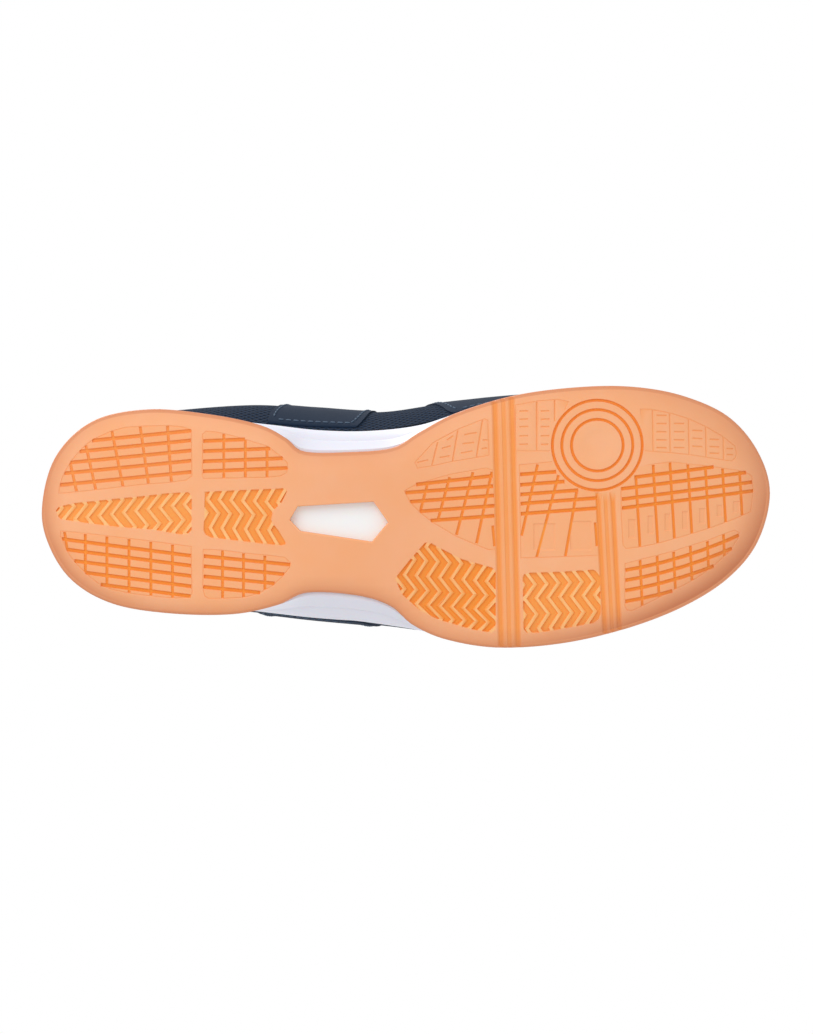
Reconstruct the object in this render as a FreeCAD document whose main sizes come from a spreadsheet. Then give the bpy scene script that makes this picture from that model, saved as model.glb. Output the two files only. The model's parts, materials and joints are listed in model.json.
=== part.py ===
"""Left indoor court shoe as a parametric FreeCAD document.

Millimetres, +Z up. The toe points along +X and the outer (lateral) side of the foot is +Y.
The origin is on the ground, under the middle of the shoe's box. The sole bends at one line
across the ball of the foot, so every layer that crosses it is cut there: what lies behind the
line belongs to the rear of the shoe and what lies in front of it to the forefoot.
"""

import FreeCAD, Part
import math
import os

V = FreeCAD.Vector

# alias, value, meaning. Lengths in millimetres, angles in degrees.
CELLS = [
    ("shoe_length", 294.0, "overall length, heel to toe"),
    ("nominal_length", 294.0, "length at which the outlines below are drawn"),
    ("ball_end", 80.0, "x where the toe spring starts"),
    ("spring_radius", 172.0, "radius of the toe spring under the forefoot"),
    ("heel_end", -120.0, "x where the heel bevel starts"),
    ("bevel_radius", 130.0, "radius of the heel bevel"),
    ("outsole_thickness", 4.0, "rubber outsole with its tread"),
    ("flex_groove_width", 5.6, "channel across the ball of the foot"),
    ("flex_groove_depth", 1.8, "depth of both flex channels"),
    ("front_groove_x", 81.2, "middle of the front channel"),
    ("pivot_x", 76.8, "centre of the turning disc"),
    ("pivot_y", -28.9, "centre of the turning disc"),
    ("pivot_radius", 18.1, "outer radius of the turning disc"),
    ("pivot_ring_width", 1.3, "width of the grooves round the disc"),
    ("pivot_ring_depth", 1.2, "depth of the grooves round the disc"),
    ("shank_thickness", 1.6, "stiffening plate under the arch"),
    ("board_thickness", 1.2, "stitched lasting board"),
    ("sockliner_thickness", 4.0, "loose foam sockliner"),
    ("board_margin", 2.6, "lasting board's edge inside the upper's edge"),
    ("sockliner_margin", 3.4, "sockliner's edge inside the upper's edge"),
    ("wall_height", 17.0, "height above which the midsole's walls are upright"),
    ("bumper_start", 96.0, "x where the toe bumper begins"),
    ("bumper_height", 13.0, "toe bumper above the top of the outsole slab"),
    ("hinge_x", 41.4, "flex line"),
    ("hinge_z", 13.6, "height of the flex line, at the lasting board"),
    ("flex_angle", 30.0, "furthest that the forefoot bends up"),
    ("flex_gap", 0.3, "clearance at the flex line"),
    ("base_thickness", 1.4, "mesh and lining of the upper"),
    ("overlay_thickness", 0.9, "stitched synthetic overlays"),
    ("layer_gap", 0.15, "glue line between layers of the upper"),
    ("stiffener_gap", 0.5, "glue line behind the heel counter and the toe puff"),
    ("counter_thickness", 1.2, "heel counter and toe puff"),
    ("foam_thickness", 4.6, "collar foam"),
    ("lining_thickness", 0.8, "collar lining"),
    ("squareness", 2.3, "exponent of the upper's side profile: 2 is an ellipse"),
    ("tongue_thickness", 5.0, "padded part of the tongue"),
    ("tongue_middle_y", -1.8, "middle of the throat"),
    ("tongue_crown", 0.02, "drop of the tongue per square millimetre off its middle"),
    ("lace_radius", 1.1, "lace, as a round cord"),
    ("hole_radius", 1.75, "punched lace holes"),
    ("hole_rows", 6, "rows of lace holes"),
    ("aglet_radius", 1.5, "tips of the lace"),
    ("aglet_length", 18.0, "tips of the lace"),
]

# Ground outline of the outsole, (x, y), from the heel round the inner side to the toe and back.
OUTSOLE_OUTLINE = [
    (-147, -3.5), (-141.5, -24), (-126.5, -38.5), (-104, -43.3), (-78.8, -41.2), (-59, -37), (-48.5, -31.7),
    (-41.5, -26.4), (-25, -26), (-6, -27.7), (5, -34), (20, -41.8), (44, -49), (70, -52.3), (92, -52.3),
    (112, -48.5), (130, -40.1), (142, -26), (147, -9), (142, 10.5), (130, 25), (112, 36.2), (89, 45),
    (63, 51), (37, 52.8), (16, 49.5), (2.5, 43.6), (-6.5, 36), (-20, 31.7), (-40, 30.6), (-52, 35.6),
    (-70, 39.3), (-95, 39), (-118, 35.2), (-134.5, 26), (-144, 12),
]
# Outer top edge of the midsole, (x, y), the same way round. The waist is wider than the outsole's.
MIDSOLE_OUTLINE = [
    (-144, -3.5), (-138, -24), (-123, -36.5), (-103, -40), (-78, -38.8), (-55, -36.6), (-35, -35), (-15, -34.8),
    (5, -37), (22, -41.5), (44, -46.3), (70, -49.3), (92, -49.2), (111, -45.2), (128, -37), (139.3, -24.5),
    (143.8, -9), (139.3, 8.3), (128, 21.8), (110.5, 33), (88, 41.8), (63, 47.7), (37, 49.8), (16, 48.2),
    (0, 45.4), (-20, 42.6), (-41, 40.8), (-70, 37.6), (-95, 36.3), (-117, 32.6), (-131.5, 24.5), (-140.8, 12),
]
# Height of the midsole's top edge and of the footbed inside it, (x, z).
RIM_HEIGHTS = [(-160, 32), (-120, 30.5), (-80, 28), (-40, 24.8), (0, 21.8), (41, 20), (75, 19.8), (105, 24), (132, 31), (160, 38)]
FOOTBED_HEIGHTS = [(-160, 24), (-120, 22.4), (-80, 20.4), (-40, 17.6), (0, 14.6), (41, 12.8), (75, 12.6), (105, 16.2), (132, 22.6), (160, 31)]
# The upper between its lower edge and the edge of its opening, in 24 stations round the shoe from the heel
# over the inner side, the toe and the outer side: lower edge (x, y), opening edge (x, y, z), outward bulge.
STATIONS = [
    (-142.2, -3.5, -137, -3.5, 98, 1.5),
    (-135, -24, -131, -17, 96, 2),
    (-116, -35.5, -116, -26.5, 87, 2.5),
    (-90, -37.4, -92, -30, 78.5, 4),
    (-62, -35.2, -66, -28, 84, 8),
    (-36, -33.2, -45, -21.5, 93.5, 10),
    (-9, -33.6, -22, -18.5, 86, 9.5),
    (18, -38.6, 2, -16.5, 77, 6.5),
    (44, -44.4, 22, -14, 69, 3.5),
    (75, -47.4, 33, -11, 64.4, 1.5),
    (108, -43.8, 37.5, -6.5, 62.6, 1),
    (132, -30.8, 38.3, -4.2, 62.3, 1),
    (141.8, -9, 38.5, -2.3, 62.3, 1),
    (131.5, 15.8, 38.3, -0.4, 62.3, 1),
    (105, 33.4, 37.5, 2.2, 62.6, 1),
    (72, 44.4, 33, 7.2, 64.4, 1.5),
    (42, 47.6, 22, 10.6, 69, 2),
    (16, 46.2, 2, 13.6, 77, 3),
    (-10, 42.4, -22, 16, 86, 4),
    (-38, 39.2, -45, 19, 93.5, 4),
    (-65, 36.2, -66, 25, 82, 3.5),
    (-92, 34.6, -92, 26.5, 75.5, 3),
    (-116, 31, -116, 22, 85, 2.5),
    (-134, 17.5, -131, 11.5, 95, 2),
]
# Window in the waist of the outsole, (x, y).
WINDOW = [(-47, 1.2), (-43.8, -4.2), (-13.2, -6.1), (-7.4, 2.2), (-13.9, 10), (-42.7, 5.7)]
# Stiffening plate behind the window, (x, y).
SHANK = [(-56, -10), (-44, -14), (-12, -16), (0, -20), (6, 2), (0, 22), (-14, 18), (-44, 14), (-56, 11)]
# Middle line of the tongue's top face from its stitched end to its free end, (x, z), with half widths.
TONGUE = [
    (41, 61.2, 13), (34, 61.8, 15), (27, 65, 18), (16, 70.8, 20.5), (2, 77.8, 22), (-22, 87, 21.5), (-44, 96, 20.5),
    (-58, 106.5, 20), (-64, 119, 18.5),
]

SOLE_PRISM = 30.0  # half height of the trimming prisms of the sole layers
BLOCK = 400.0  # half size of tools that only have to reach past the shoe
PROFILE_STEPS = 12  # samples up the upper's side profile
STATION_STEPS = 3  # samples between two stations of the upper
N = len(STATIONS)
# Spans of the upper's parts in stations (first, last) and up the side (low, high).
HEEL_COUNTER, HEEL_CAP = (21, 27, 0.03, 0.5), (21.5, 26.5, 0.02, 0.4)
COLLAR_FOAM, COLLAR_LINING = (19.7, 28.3, 0.5, 0.8), (19.8, 28.2, 0.51, 0.78)
TOE_PUFF, TOE_GUARD = (10, 14, 0.05, 0.42), (9.2, 14.8, 0.035, 0.33)
EYESTAY_LOW, EYESTAY_BACK, EYESTAY_FRONT = 0.66, 5.05, 11.9
SIDE_PANEL = (5.6, 8.1, 0.02, 0.46)
LACE_LEVEL, FIRST_ROW, LAST_ROW = 0.845, 5.35, 8.3

doc = FreeCAD.newDocument("court_shoe")


def make_sheet():
    """Spreadsheet with the driving dimensions, one alias per cell."""
    cells = doc.addObject("Spreadsheet::Sheet", "dimensions")
    for row, (alias, value, meaning) in enumerate(CELLS, 1):
        cells.set(f"A{row}", alias)
        cells.set(f"B{row}", str(value))
        cells.set(f"C{row}", meaning)
        cells.setAlias(f"B{row}", alias)
    doc.recompute()
    return cells


sheet = make_sheet()


def dim(alias):
    """Value of one cell as a float."""
    return float(sheet.get(alias))


SCALE = dim("shoe_length") / dim("nominal_length")


# Curves

def smooth(values, place):
    """Value at a place between evenly spaced values of a closed loop, by a Catmull-Rom curve."""
    i = math.floor(place)
    t = place - i
    a, b, c, d = (values[(i + k) % len(values)] for k in (-1, 0, 1, 2))
    return 0.5 * (2 * b + (c - a) * t + (2 * a - 5 * b + 4 * c - d) * t**2 + (3 * b - a - 3 * c + d) * t**3)


def closed_curve(points):
    """Smooth closed curve through plan points."""
    curve = Part.BSplineCurve()
    curve.interpolate([V(x * SCALE, y * SCALE, 0) for x, y in points], PeriodicFlag=True)
    return curve


def height_curve(points, rise=0.0):
    """Smooth open curve through (x, z) points, drawn in a sketch's own plane."""
    curve = Part.BSplineCurve()
    curve.interpolate([V(x * SCALE, z + rise, 0) for x, z in points])
    return curve


def height_at(points, x):
    """Height of such a curve at x."""
    curve = height_curve(points)
    low, high = curve.FirstParameter, curve.LastParameter
    for _ in range(40):
        middle = (low + high) / 2
        if curve.value(middle).x < x:
            low = middle
        else:
            high = middle
    return curve.value(low).y


# Document objects

def sketch(name, geometry, upright=False, height=0.0):
    """Sketch in the ground plane at a height, or upright in the XZ plane."""
    made = doc.addObject("Sketcher::SketchObject", name)
    if upright:
        made.Placement = FreeCAD.Placement(V(), FreeCAD.Rotation(V(1, 0, 0), 90))
    else:
        made.Placement.Base = V(0, 0, height)
    for item in geometry:
        made.addGeometry(item, False)
    return made


def polygon(points):
    """Line segments of a closed polygon in a sketch's plane."""
    corners = [V(x, y, 0) for x, y in points]
    return [Part.LineSegment(a, b) for a, b in zip(corners, corners[1:] + corners[:1])]


def prism(name, base, upright=False, half=SOLE_PRISM, both=True):
    """Sketch extruded along +Z, or +Y if upright, both ways unless told otherwise."""
    made = doc.addObject("Part::Extrusion", name)
    made.Base = base
    made.DirMode = "Custom"
    made.Dir = V(0, 1, 0) if upright else V(0, 0, 1)
    made.LengthFwd = 2 * half
    made.Symmetric = both
    made.Solid = True
    return made


def common(name, *shapes):
    """Part::MultiCommon of several objects."""
    made = doc.addObject("Part::MultiCommon", name)
    made.Shapes = list(shapes)
    return made


def fused(name, *shapes):
    """Part::MultiFuse of several objects."""
    made = doc.addObject("Part::MultiFuse", name)
    made.Shapes = list(shapes)
    made.Refine = False
    return made


def cut(name, base, tool):
    """Part::Cut of one object from another."""
    made = doc.addObject("Part::Cut", name)
    made.Base = base
    made.Tool = tool
    made.Refine = False
    return made


def origin_plane(body, role):
    """One of a body's own origin planes."""
    return next(f for f in body.Origin.OriginFeatures if f.Role == role)


def body_sketch(body, name, role, geometry):
    """Sketch attached to one of a body's own origin planes."""
    made = body.newObject("Sketcher::SketchObject", name)
    made.AttachmentSupport = [(origin_plane(body, role), "")]
    made.MapMode = "FlatFace"
    for item in geometry:
        made.addGeometry(item, False)
    return made


def pocket_through(body, name, profile):
    """Pocket through the whole body both ways, checked to remove something."""
    doc.recompute()
    before = body.Shape.Volume
    made = body.newObject("PartDesign::Pocket", name)
    made.Profile = profile
    made.Type = "ThroughAll"
    made.Midplane = True
    doc.recompute()
    if not body.Shape.Volume < before:
        raise RuntimeError(f"{name} cuts nothing")
    return made


# Sole

def ground_profile(rise):
    """Tread line raised by a distance: heel bevel arc, flat, toe spring arc, as sketch geometry and its ends."""
    flat_back, flat_front = dim("heel_end"), dim("ball_end")
    heel_r, toe_r = dim("bevel_radius") - rise, dim("spring_radius") - rise
    reach = math.radians(26)
    heel_centre, toe_centre = V(flat_back, dim("bevel_radius"), 0), V(flat_front, dim("spring_radius"), 0)
    down = -math.pi / 2
    heel = Part.ArcOfCircle(Part.Circle(heel_centre, V(0, 0, 1), heel_r), down - reach, down)
    toe = Part.ArcOfCircle(Part.Circle(toe_centre, V(0, 0, 1), toe_r), down, down + reach)
    flat = Part.LineSegment(V(flat_back, rise, 0), V(flat_front, rise, 0))
    return [heel, flat, toe], heel.StartPoint, toe.EndPoint


def slab_geometry(low, high):
    """Closed side view of a layer that follows the ground line between two heights above it."""
    lower, lower_back, lower_front = ground_profile(low)
    upper, upper_back, upper_front = ground_profile(high)
    return lower + upper + [Part.LineSegment(lower_back, upper_back), Part.LineSegment(lower_front, upper_front)]


def band_geometry(lower, upper):
    """Closed side view between two height curves."""
    ends = [Part.LineSegment(lower.StartPoint, upper.StartPoint), Part.LineSegment(lower.EndPoint, upper.EndPoint)]
    return [lower, upper] + ends


def inset(points, distance):
    """Plan points moved inwards by a distance."""
    moved = []
    for i, (x, y) in enumerate(points):
        (ax, ay), (bx, by) = points[i - 1], points[(i + 1) % len(points)]
        length = math.hypot(bx - ax, by - ay)
        moved.append((x - (by - ay) / length * distance, y + (bx - ax) / length * distance))
    return moved


def frame_geometry(points):
    """Outline inside a large rectangle, for trimming away what lies outside the outline."""
    corners = [(-BLOCK, -BLOCK), (BLOCK, -BLOCK), (BLOCK, BLOCK), (-BLOCK, BLOCK)]
    return polygon(corners) + [closed_curve(points)]


def layer_body(name, side, outline):
    """PartDesign body of one sole layer: its side view padded across the shoe, then trimmed to its outline."""
    body = doc.addObject("PartDesign::Body", name)
    pad = body.newObject("PartDesign::Pad", name + "_pad")
    pad.Profile = body_sketch(body, name + "_side", "XZ_Plane", side)
    pad.Length = 2 * SOLE_PRISM + 80
    pad.Midplane = True
    pocket_through(body, name + "_trim", body_sketch(body, name + "_outline", "XY_Plane", frame_geometry(outline)))
    return body


def groove_geometry(x):
    """Side view of a flex channel at x: sloping walls and a flat floor."""
    half, depth = dim("flex_groove_width") / 2, dim("flex_groove_depth")
    return polygon([(x - half, -1), (x - half, 0.1), (x - half * 0.45, depth), (x + half * 0.45, depth), (x + half, 0.1), (x + half, -1)])


def pivot_rings():
    """Ring grooves of the turning disc, as Part tubes that stand in the tread."""
    rings = []
    for number, share in enumerate((1.0, 0.785, 0.575), 1):
        outer = doc.addObject("Part::Cylinder", f"pivot_ring_{number}_outer")
        inner = doc.addObject("Part::Cylinder", f"pivot_ring_{number}_inner")
        outer.setExpression("Radius", f"dimensions.pivot_radius * {share}")
        inner.setExpression("Radius", f"dimensions.pivot_radius * {share} - dimensions.pivot_ring_width")
        for tube in (outer, inner):
            tube.setExpression("Height", "dimensions.pivot_ring_depth + 1")
            tube.setExpression("Placement.Base.x", "dimensions.pivot_x")
            tube.setExpression("Placement.Base.y", "dimensions.pivot_y")
            tube.Placement.Base.z = -1
        rings.append(cut(f"pivot_ring_{number}", outer, inner))
    return rings


def sole_loft(name, low_outline, high_outline):
    """Solid whose walls slope from a ground outline to a wider one, and go straight up from there."""
    made = doc.addObject("Part::Loft", name)
    levels = [(low_outline, 0.0), (high_outline, dim("wall_height")), (high_outline, 80.0)]
    made.Sections = [sketch(f"{name}_{i}", [closed_curve(o)], height=z) for i, (o, z) in enumerate(levels)]
    made.Solid = True
    made.Ruled = True
    return made


def resampled(points, count):
    """Plan points at evenly spaced places round a closed curve, starting where the outline crosses the heel."""
    curve = closed_curve(points)
    edge = curve.toShape()
    return [(p.x / SCALE, p.y / SCALE) for p in edge.discretize(count + 1)[:count]]


def regions():
    """Tools that keep the rear, the forefoot and the wedge above the flex line that closes as the toe bends up."""
    x, z, gap = dim("hinge_x"), dim("hinge_z"), dim("flex_gap")
    top, lean = 150.0, math.tan(math.radians(dim("flex_angle") + 1))
    far = (top - z) * lean
    rear = polygon([(-BLOCK, -BLOCK), (x, -BLOCK), (x, top), (-BLOCK, top)])
    front = polygon([(x + gap, -BLOCK), (BLOCK, -BLOCK), (BLOCK, top), (x + gap + far, top), (x + gap, z)])
    wedge = polygon([(x, z), (x + far, top), (x, top)])
    return [prism(name, sketch(name + "_side", side, upright=True), True, BLOCK)
            for name, side in (("rear_region", rear), ("front_region", front), ("flex_region", wedge))]


def split(name, whole, rear_region, front_region):
    """One layer as its rear and forefoot parts. Returns their names."""
    common(name + "_rear", whole, rear_region)
    common(name + "_forefoot", whole, front_region)
    return [name + "_rear", name + "_forefoot"]


def make_outsole(midsole_blank):
    """Gum rubber outsole: slab with a waist window, two flex channels, a ringed turning disc and a toe bumper."""
    thickness = dim("outsole_thickness")
    body = layer_body("outsole_slab", slab_geometry(0, thickness), OUTSOLE_OUTLINE)
    pocket_through(body, "waist_window", body_sketch(body, "waist_window_outline", "XY_Plane", polygon(WINDOW)))
    rear_channel = body_sketch(body, "rear_channel_side", "XZ_Plane", groove_geometry(dim("hinge_x")))
    pocket_through(body, "rear_channel", rear_channel)
    front_channel = sketch("front_channel_side", groove_geometry(dim("front_groove_x")), upright=True)
    front_channel.Placement.Base.y = dim("pivot_y") + dim("pivot_radius") + 1
    slab = cut("outsole_less_front_channel", body, prism("front_channel", front_channel, True, BLOCK, both=False))
    for ring in pivot_rings():
        slab = cut("outsole_less_" + ring.Name, slab, ring)
    low, high = resampled(inset(OUTSOLE_OUTLINE, 0.4), 60), resampled(inset(MIDSOLE_OUTLINE, -1.6), 60)
    shell = sole_loft("bumper_loft", low, high)
    start = dim("bumper_start")
    side = slab_geometry(thickness - 0.5, thickness + dim("bumper_height"))
    band = prism("bumper_band", sketch("bumper_side", side, upright=True), True, BLOCK)
    wedge = polygon([(start, 0), (BLOCK, 0), (BLOCK, 60), (start + 34, 60), (start + 12, 22)])
    front = prism("bumper_front", sketch("bumper_front_side", wedge, upright=True), True, BLOCK)
    bumper = cut("toe_bumper", common("bumper_blank", shell, band, front), midsole_blank)
    return fused("outsole_whole", slab, bumper)


def make_midsole():
    """White foam midsole: sloping walls, a rim round a sunk footbed, and a recess for the stiffening plate."""
    low, high = resampled(inset(OUTSOLE_OUTLINE, 1.2), 60), resampled(MIDSOLE_OUTLINE, 60)
    block = sole_loft("midsole_block", low, high)
    lower, back, front = ground_profile(dim("outsole_thickness"))
    rim = height_curve(RIM_HEIGHTS)
    side = lower + [rim, Part.LineSegment(back, rim.StartPoint), Part.LineSegment(front, rim.EndPoint)]
    blank = common("midsole_blank", block, prism("midsole_band", sketch("midsole_side", side, upright=True), True, BLOCK))
    bed_side = band_geometry(height_curve(FOOTBED_HEIGHTS), height_curve(FOOTBED_HEIGHTS, 60))
    bed_band = prism("footbed_band", sketch("footbed_side", bed_side, upright=True), True, BLOCK)
    lower_edge = [(row[0], row[1]) for row in STATIONS]
    bed_outline = prism("footbed_prism", sketch("footbed_outline", [closed_curve(inset(lower_edge, 2.0))]), half=90)
    return blank, cut("midsole_bedded", blank, common("footbed", bed_band, bed_outline))


def make_shank():
    """Moulded plate in the waist, seen through the outsole's window."""
    thickness = dim("outsole_thickness")
    corners = [(x * SCALE, y * SCALE) for x, y in SHANK]
    body = doc.addObject("PartDesign::Body", "shank_plate")
    pad = body.newObject("PartDesign::Pad", "shank_pad")
    pad.Profile = body_sketch(body, "shank_outline", "XY_Plane", polygon(corners))
    pad.setExpression("Length", "dimensions.outsole_thickness + dimensions.shank_thickness")
    pocket = body.newObject("PartDesign::Pocket", "shank_clearance")
    pocket.Profile = body_sketch(body, "shank_clearance_outline", "XY_Plane", polygon([(-BLOCK, -BLOCK), (BLOCK, -BLOCK), (BLOCK, BLOCK), (-BLOCK, BLOCK)]))
    pocket.setExpression("Length", "dimensions.outsole_thickness")
    pocket.Reversed = True
    doc.recompute()
    expected = dim("shank_thickness") / (thickness + dim("shank_thickness")) * pad.Shape.Volume
    if abs(body.Shape.Volume - expected) > 1:
        raise RuntimeError("the shank's lower face is not at the top of the outsole")
    return body


def make_layer(name, low, high, margin):
    """Thin layer on the footbed between two heights above it, inside the upper's lower edge by a margin."""
    side = band_geometry(height_curve(FOOTBED_HEIGHTS, low), height_curve(FOOTBED_HEIGHTS, high))
    lower_edge = [(row[0], row[1]) for row in STATIONS]
    return layer_body(name, side, inset(lower_edge, margin))


def make_sole(rear_region, front_region):
    """All the layers under the foot, cut at the flex line."""
    nodes = []
    blank, bedded = make_midsole()
    shank = make_shank()
    nodes += split("midsole", cut("midsole_whole", bedded, shank), rear_region, front_region)
    nodes += split("outsole", make_outsole(blank), rear_region, front_region)
    board, liner = dim("board_thickness"), dim("sockliner_thickness")
    gap = dim("layer_gap")
    lasting = make_layer("lasting_board_whole", gap, gap + board, dim("board_margin"))
    sock = make_layer("sockliner_whole", 2 * gap + board, 2 * gap + board + liner, dim("sockliner_margin"))
    nodes += split("lasting_board", lasting, rear_region, front_region)
    nodes += split("sockliner", sock, rear_region, front_region)
    return nodes + ["shank_plate"]


# Upper

COLUMNS = list(zip(*STATIONS))


def plan_normal(place):
    """Outward direction in plan of the upper's lower edge."""
    dx = smooth(COLUMNS[0], place + 0.1) - smooth(COLUMNS[0], place - 0.1)
    dy = smooth(COLUMNS[1], place + 0.1) - smooth(COLUMNS[1], place - 0.1)
    return V(dy, -dx, 0).normalize()


def upper_point(place, level):
    """Point of the upper's inner face, at a station round the shoe and a level from 0, lower edge, to 1, opening."""
    x0, y0, x1, y1, z1, bulge = (smooth(column, place) for column in COLUMNS)
    z0 = height_at(RIM_HEIGHTS, x0) + 0.3
    angle = min(max(level, 0.0), 1.0) * math.pi / 2
    across = 1 - math.cos(angle) ** (2 / dim("squareness"))
    up = math.sin(angle) ** (2 / dim("squareness"))
    point = V(x0 + (x1 - x0) * across, y0 + (y1 - y0) * across, z0 + (z1 - z0) * up)
    return (point + plan_normal(place) * bulge * math.sin(math.pi * up)) * 1.0


CACHE = {}


def upper_face_point(place, level, depth):
    """Point a depth outside the upper's inner face, measured along its normal."""
    key = (round(place % N, 4), round(level, 4))
    if key not in CACHE:
        step = 0.02
        along = upper_point(place + step, level) - upper_point(place - step, level)
        low, high = max(level - step, 0), min(level + step, 1)
        rise = upper_point(place, high) - upper_point(place, low)
        normal = along.cross(rise).normalize()
        if level < 0.005:
            normal = V(normal.x, normal.y, 0).normalize()
        CACHE[key] = (upper_point(place, level), normal)
    point, normal = CACHE[key]
    return point + normal * depth


def grid_surface(rows):
    """B-spline surface through a grid of points."""
    surface = Part.BSplineSurface()
    surface.interpolate(rows)
    return surface


def solid_between(inner, outer):
    """Closed solid between two grids of points that match."""
    faces = [grid_surface(inner).toShape(), grid_surface(outer).toShape()]
    sides = []
    for grid in (inner, outer):
        surface = grid_surface(grid)
        u0, u1, v0, v1 = surface.bounds()
        sides.append([surface.uIso(u0), surface.uIso(u1), surface.vIso(v0), surface.vIso(v1)])
    for a, b in zip(*sides):
        faces.append(Part.makeRuledSurface(a.toShape(), b.toShape(), 1))
    shell = Part.makeShell(faces)
    shell.sewShape()
    solid = Part.Solid(shell)
    return solid if solid.Volume > 0 else solid.reversed()


def upper_shell(first, last, low, high, inner, outer):
    """Solid piece of the upper over a span of stations and levels, between two depths."""
    columns = max(6, round((last - first) * STATION_STEPS))
    rows = max(4, round((high - low) * PROFILE_STEPS))
    places = [first + (last - first) * i / columns for i in range(columns + 1)]
    levels = [low + (high - low) * j / rows for j in range(rows + 1)]
    return solid_between(*[[[upper_face_point(p, q, d) for q in levels] for p in places] for d in (inner, outer)])


def feature(name, shape):
    """Part::Feature that holds a finished shape."""
    made = doc.addObject("Part::Feature", name)
    made.Shape = shape
    return made


def row_places():
    """Stations of the lace holes on the inner side, from the ankle to the toe."""
    count = int(dim("hole_rows"))
    return [FIRST_ROW + (LAST_ROW - FIRST_ROW) * i / (count - 1) for i in range(count)]


def hole_axis(place):
    """Middle and outward direction of the lace hole at a station."""
    middle = upper_face_point(place, LACE_LEVEL, 0)
    return middle, (upper_face_point(place, LACE_LEVEL, 1) - middle)


def lace_holes():
    """Cylinders for all the punched holes."""
    made = []
    for place in row_places():
        for side in (place, N - place):
            middle, out = hole_axis(side)
            made.append(Part.makeCylinder(dim("hole_radius"), 14, middle - out * 7, out))
    return Part.makeCompound(made)


def make_upper(rear_region, front_region, flex_region):
    """Base layer, stiffeners, padding and overlays of the upper."""
    nodes = []
    doc.recompute()
    rear, front, flex = rear_region.Shape, front_region.Shape, flex_region.Shape
    base, gap = dim("base_thickness"), dim("layer_gap")
    stiff = (-dim("stiffener_gap") - dim("counter_thickness"), -dim("stiffener_gap"))
    outside = base + gap
    overlay = outside + dim("overlay_thickness")
    holes = lace_holes()

    def add(name, shape):
        feature(name, shape)
        nodes.append(name)

    add("quarter_medial", upper_shell(0, N / 2, 0, 1, 0, base).common(rear).cut(holes))
    add("quarter_lateral", upper_shell(N / 2, N, 0, 1, 0, base).common(rear).cut(holes))
    vamp = upper_shell(6, 18, 0, 1, 0, base)
    add("toe_box", vamp.common(front))
    add("vamp_flex_band", vamp.common(flex))
    add("heel_counter", upper_shell(*HEEL_COUNTER, *stiff))
    add("heel_cap", upper_shell(*HEEL_CAP, outside, overlay))
    foam_inside = -gap - dim("foam_thickness")
    add("collar_foam", upper_shell(*COLLAR_FOAM, foam_inside, -gap))
    lining_outside = foam_inside - gap
    add("collar_lining", upper_shell(*COLLAR_LINING, lining_outside - dim("lining_thickness"), lining_outside))
    add("toe_puff", upper_shell(*TOE_PUFF, *stiff).common(front))
    add("toe_guard", upper_shell(*TOE_GUARD, outside, overlay).common(front))
    for side, first, last in (("medial", EYESTAY_BACK, EYESTAY_FRONT), ("lateral", N - EYESTAY_FRONT, N - EYESTAY_BACK)):
        stay = upper_shell(first, last, EYESTAY_LOW, 1, outside, overlay)
        add("eyestay_" + side, stay.common(rear).cut(holes))
    first, last, low, high = SIDE_PANEL
    for side, start, end in (("medial", first, last), ("lateral", N - last, N - first)):
        add("side_panel_" + side, upper_shell(start, end, low, high, outside, overlay).common(rear))
    return nodes


def tongue_grid(drop_share):
    """Grid of points of the tongue's top face (0) or bottom face (1)."""
    rows = []
    count = len(TONGUE)
    for i, (x, z, half) in enumerate(TONGUE):
        (ax, az, _), (bx, bz, _) = TONGUE[max(i - 1, 0)], TONGUE[min(i + 1, count - 1)]
        along = V(bx - ax, 0, bz - az).normalize()
        normal = V(-along.z, 0, along.x) if along.x > 0 else V(along.z, 0, -along.x)
        pad = dim("tongue_thickness") * (0.4 if i < 2 else 1.0)
        row = []
        for k in range(-4, 5):
            off = half * k / 4
            edge = 1 - 0.45 * (k / 4) ** 4
            crown = dim("tongue_crown") * off * off * (1.0 if i < 6 else 0.75)
            point = V(x, dim("tongue_middle_y") + off, z) - normal * (crown + drop_share * pad * edge)
            row.append(point)
        rows.append(row)
    return rows


def make_tongue():
    """Padded tongue as one curved plate under the throat."""
    feature("tongue", solid_between(tongue_grid(1), tongue_grid(0)))
    return ["tongue"]


# Lace

def rounded_wire(points, share=0.45):
    """Straight runs joined by tangent arcs, each as large as its two runs allow. Returns the wire and the radii."""
    edges, radii = [], []
    start = points[0]
    for before, corner, after in zip(points, points[1:], points[2:]):
        back, ahead = (before - corner), (after - corner)
        reach = share * min(back.Length, ahead.Length)
        u, w = back.normalize(), ahead.normalize()
        turn = math.pi - u.getAngle(w)
        p, q = corner + u * reach, corner + w * reach
        radius = reach / math.tan(turn / 2)
        centre = corner + (u + w).normalize() * (radius / math.cos(turn / 2))
        middle = centre + (corner - centre).normalize() * radius
        edges += [Part.LineSegment(start, p).toShape(), Part.Arc(p, middle, q).toShape()]
        radii.append(radius)
        start = q
    edges.append(Part.LineSegment(start, points[-1]).toShape())
    return Part.Wire(edges), radii


def lace_route():
    """Straight-bar lacing: one bar over the tongue at each row, joined by short runs under the eyestays."""
    clear = dim("base_thickness") + dim("layer_gap") + dim("overlay_thickness") + dim("lace_radius") + 0.8
    under = -(dim("lace_radius") + 0.7)
    route = []
    for row, place in enumerate(row_places()):
        sides = (place, N - place) if row % 2 == 0 else (N - place, place)
        over = []
        for side in sides:
            middle, out = hole_axis(side)
            over.append((middle + out * under, middle + out * clear, upper_face_point(side, 0.995, clear)))
        crest = (over[0][2] + over[1][2]) / 2 - V(0, 0, 0.9)
        route += [over[0][0], over[0][1], over[0][2], crest, over[1][2], over[1][1], over[1][0]]
    return route


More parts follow.
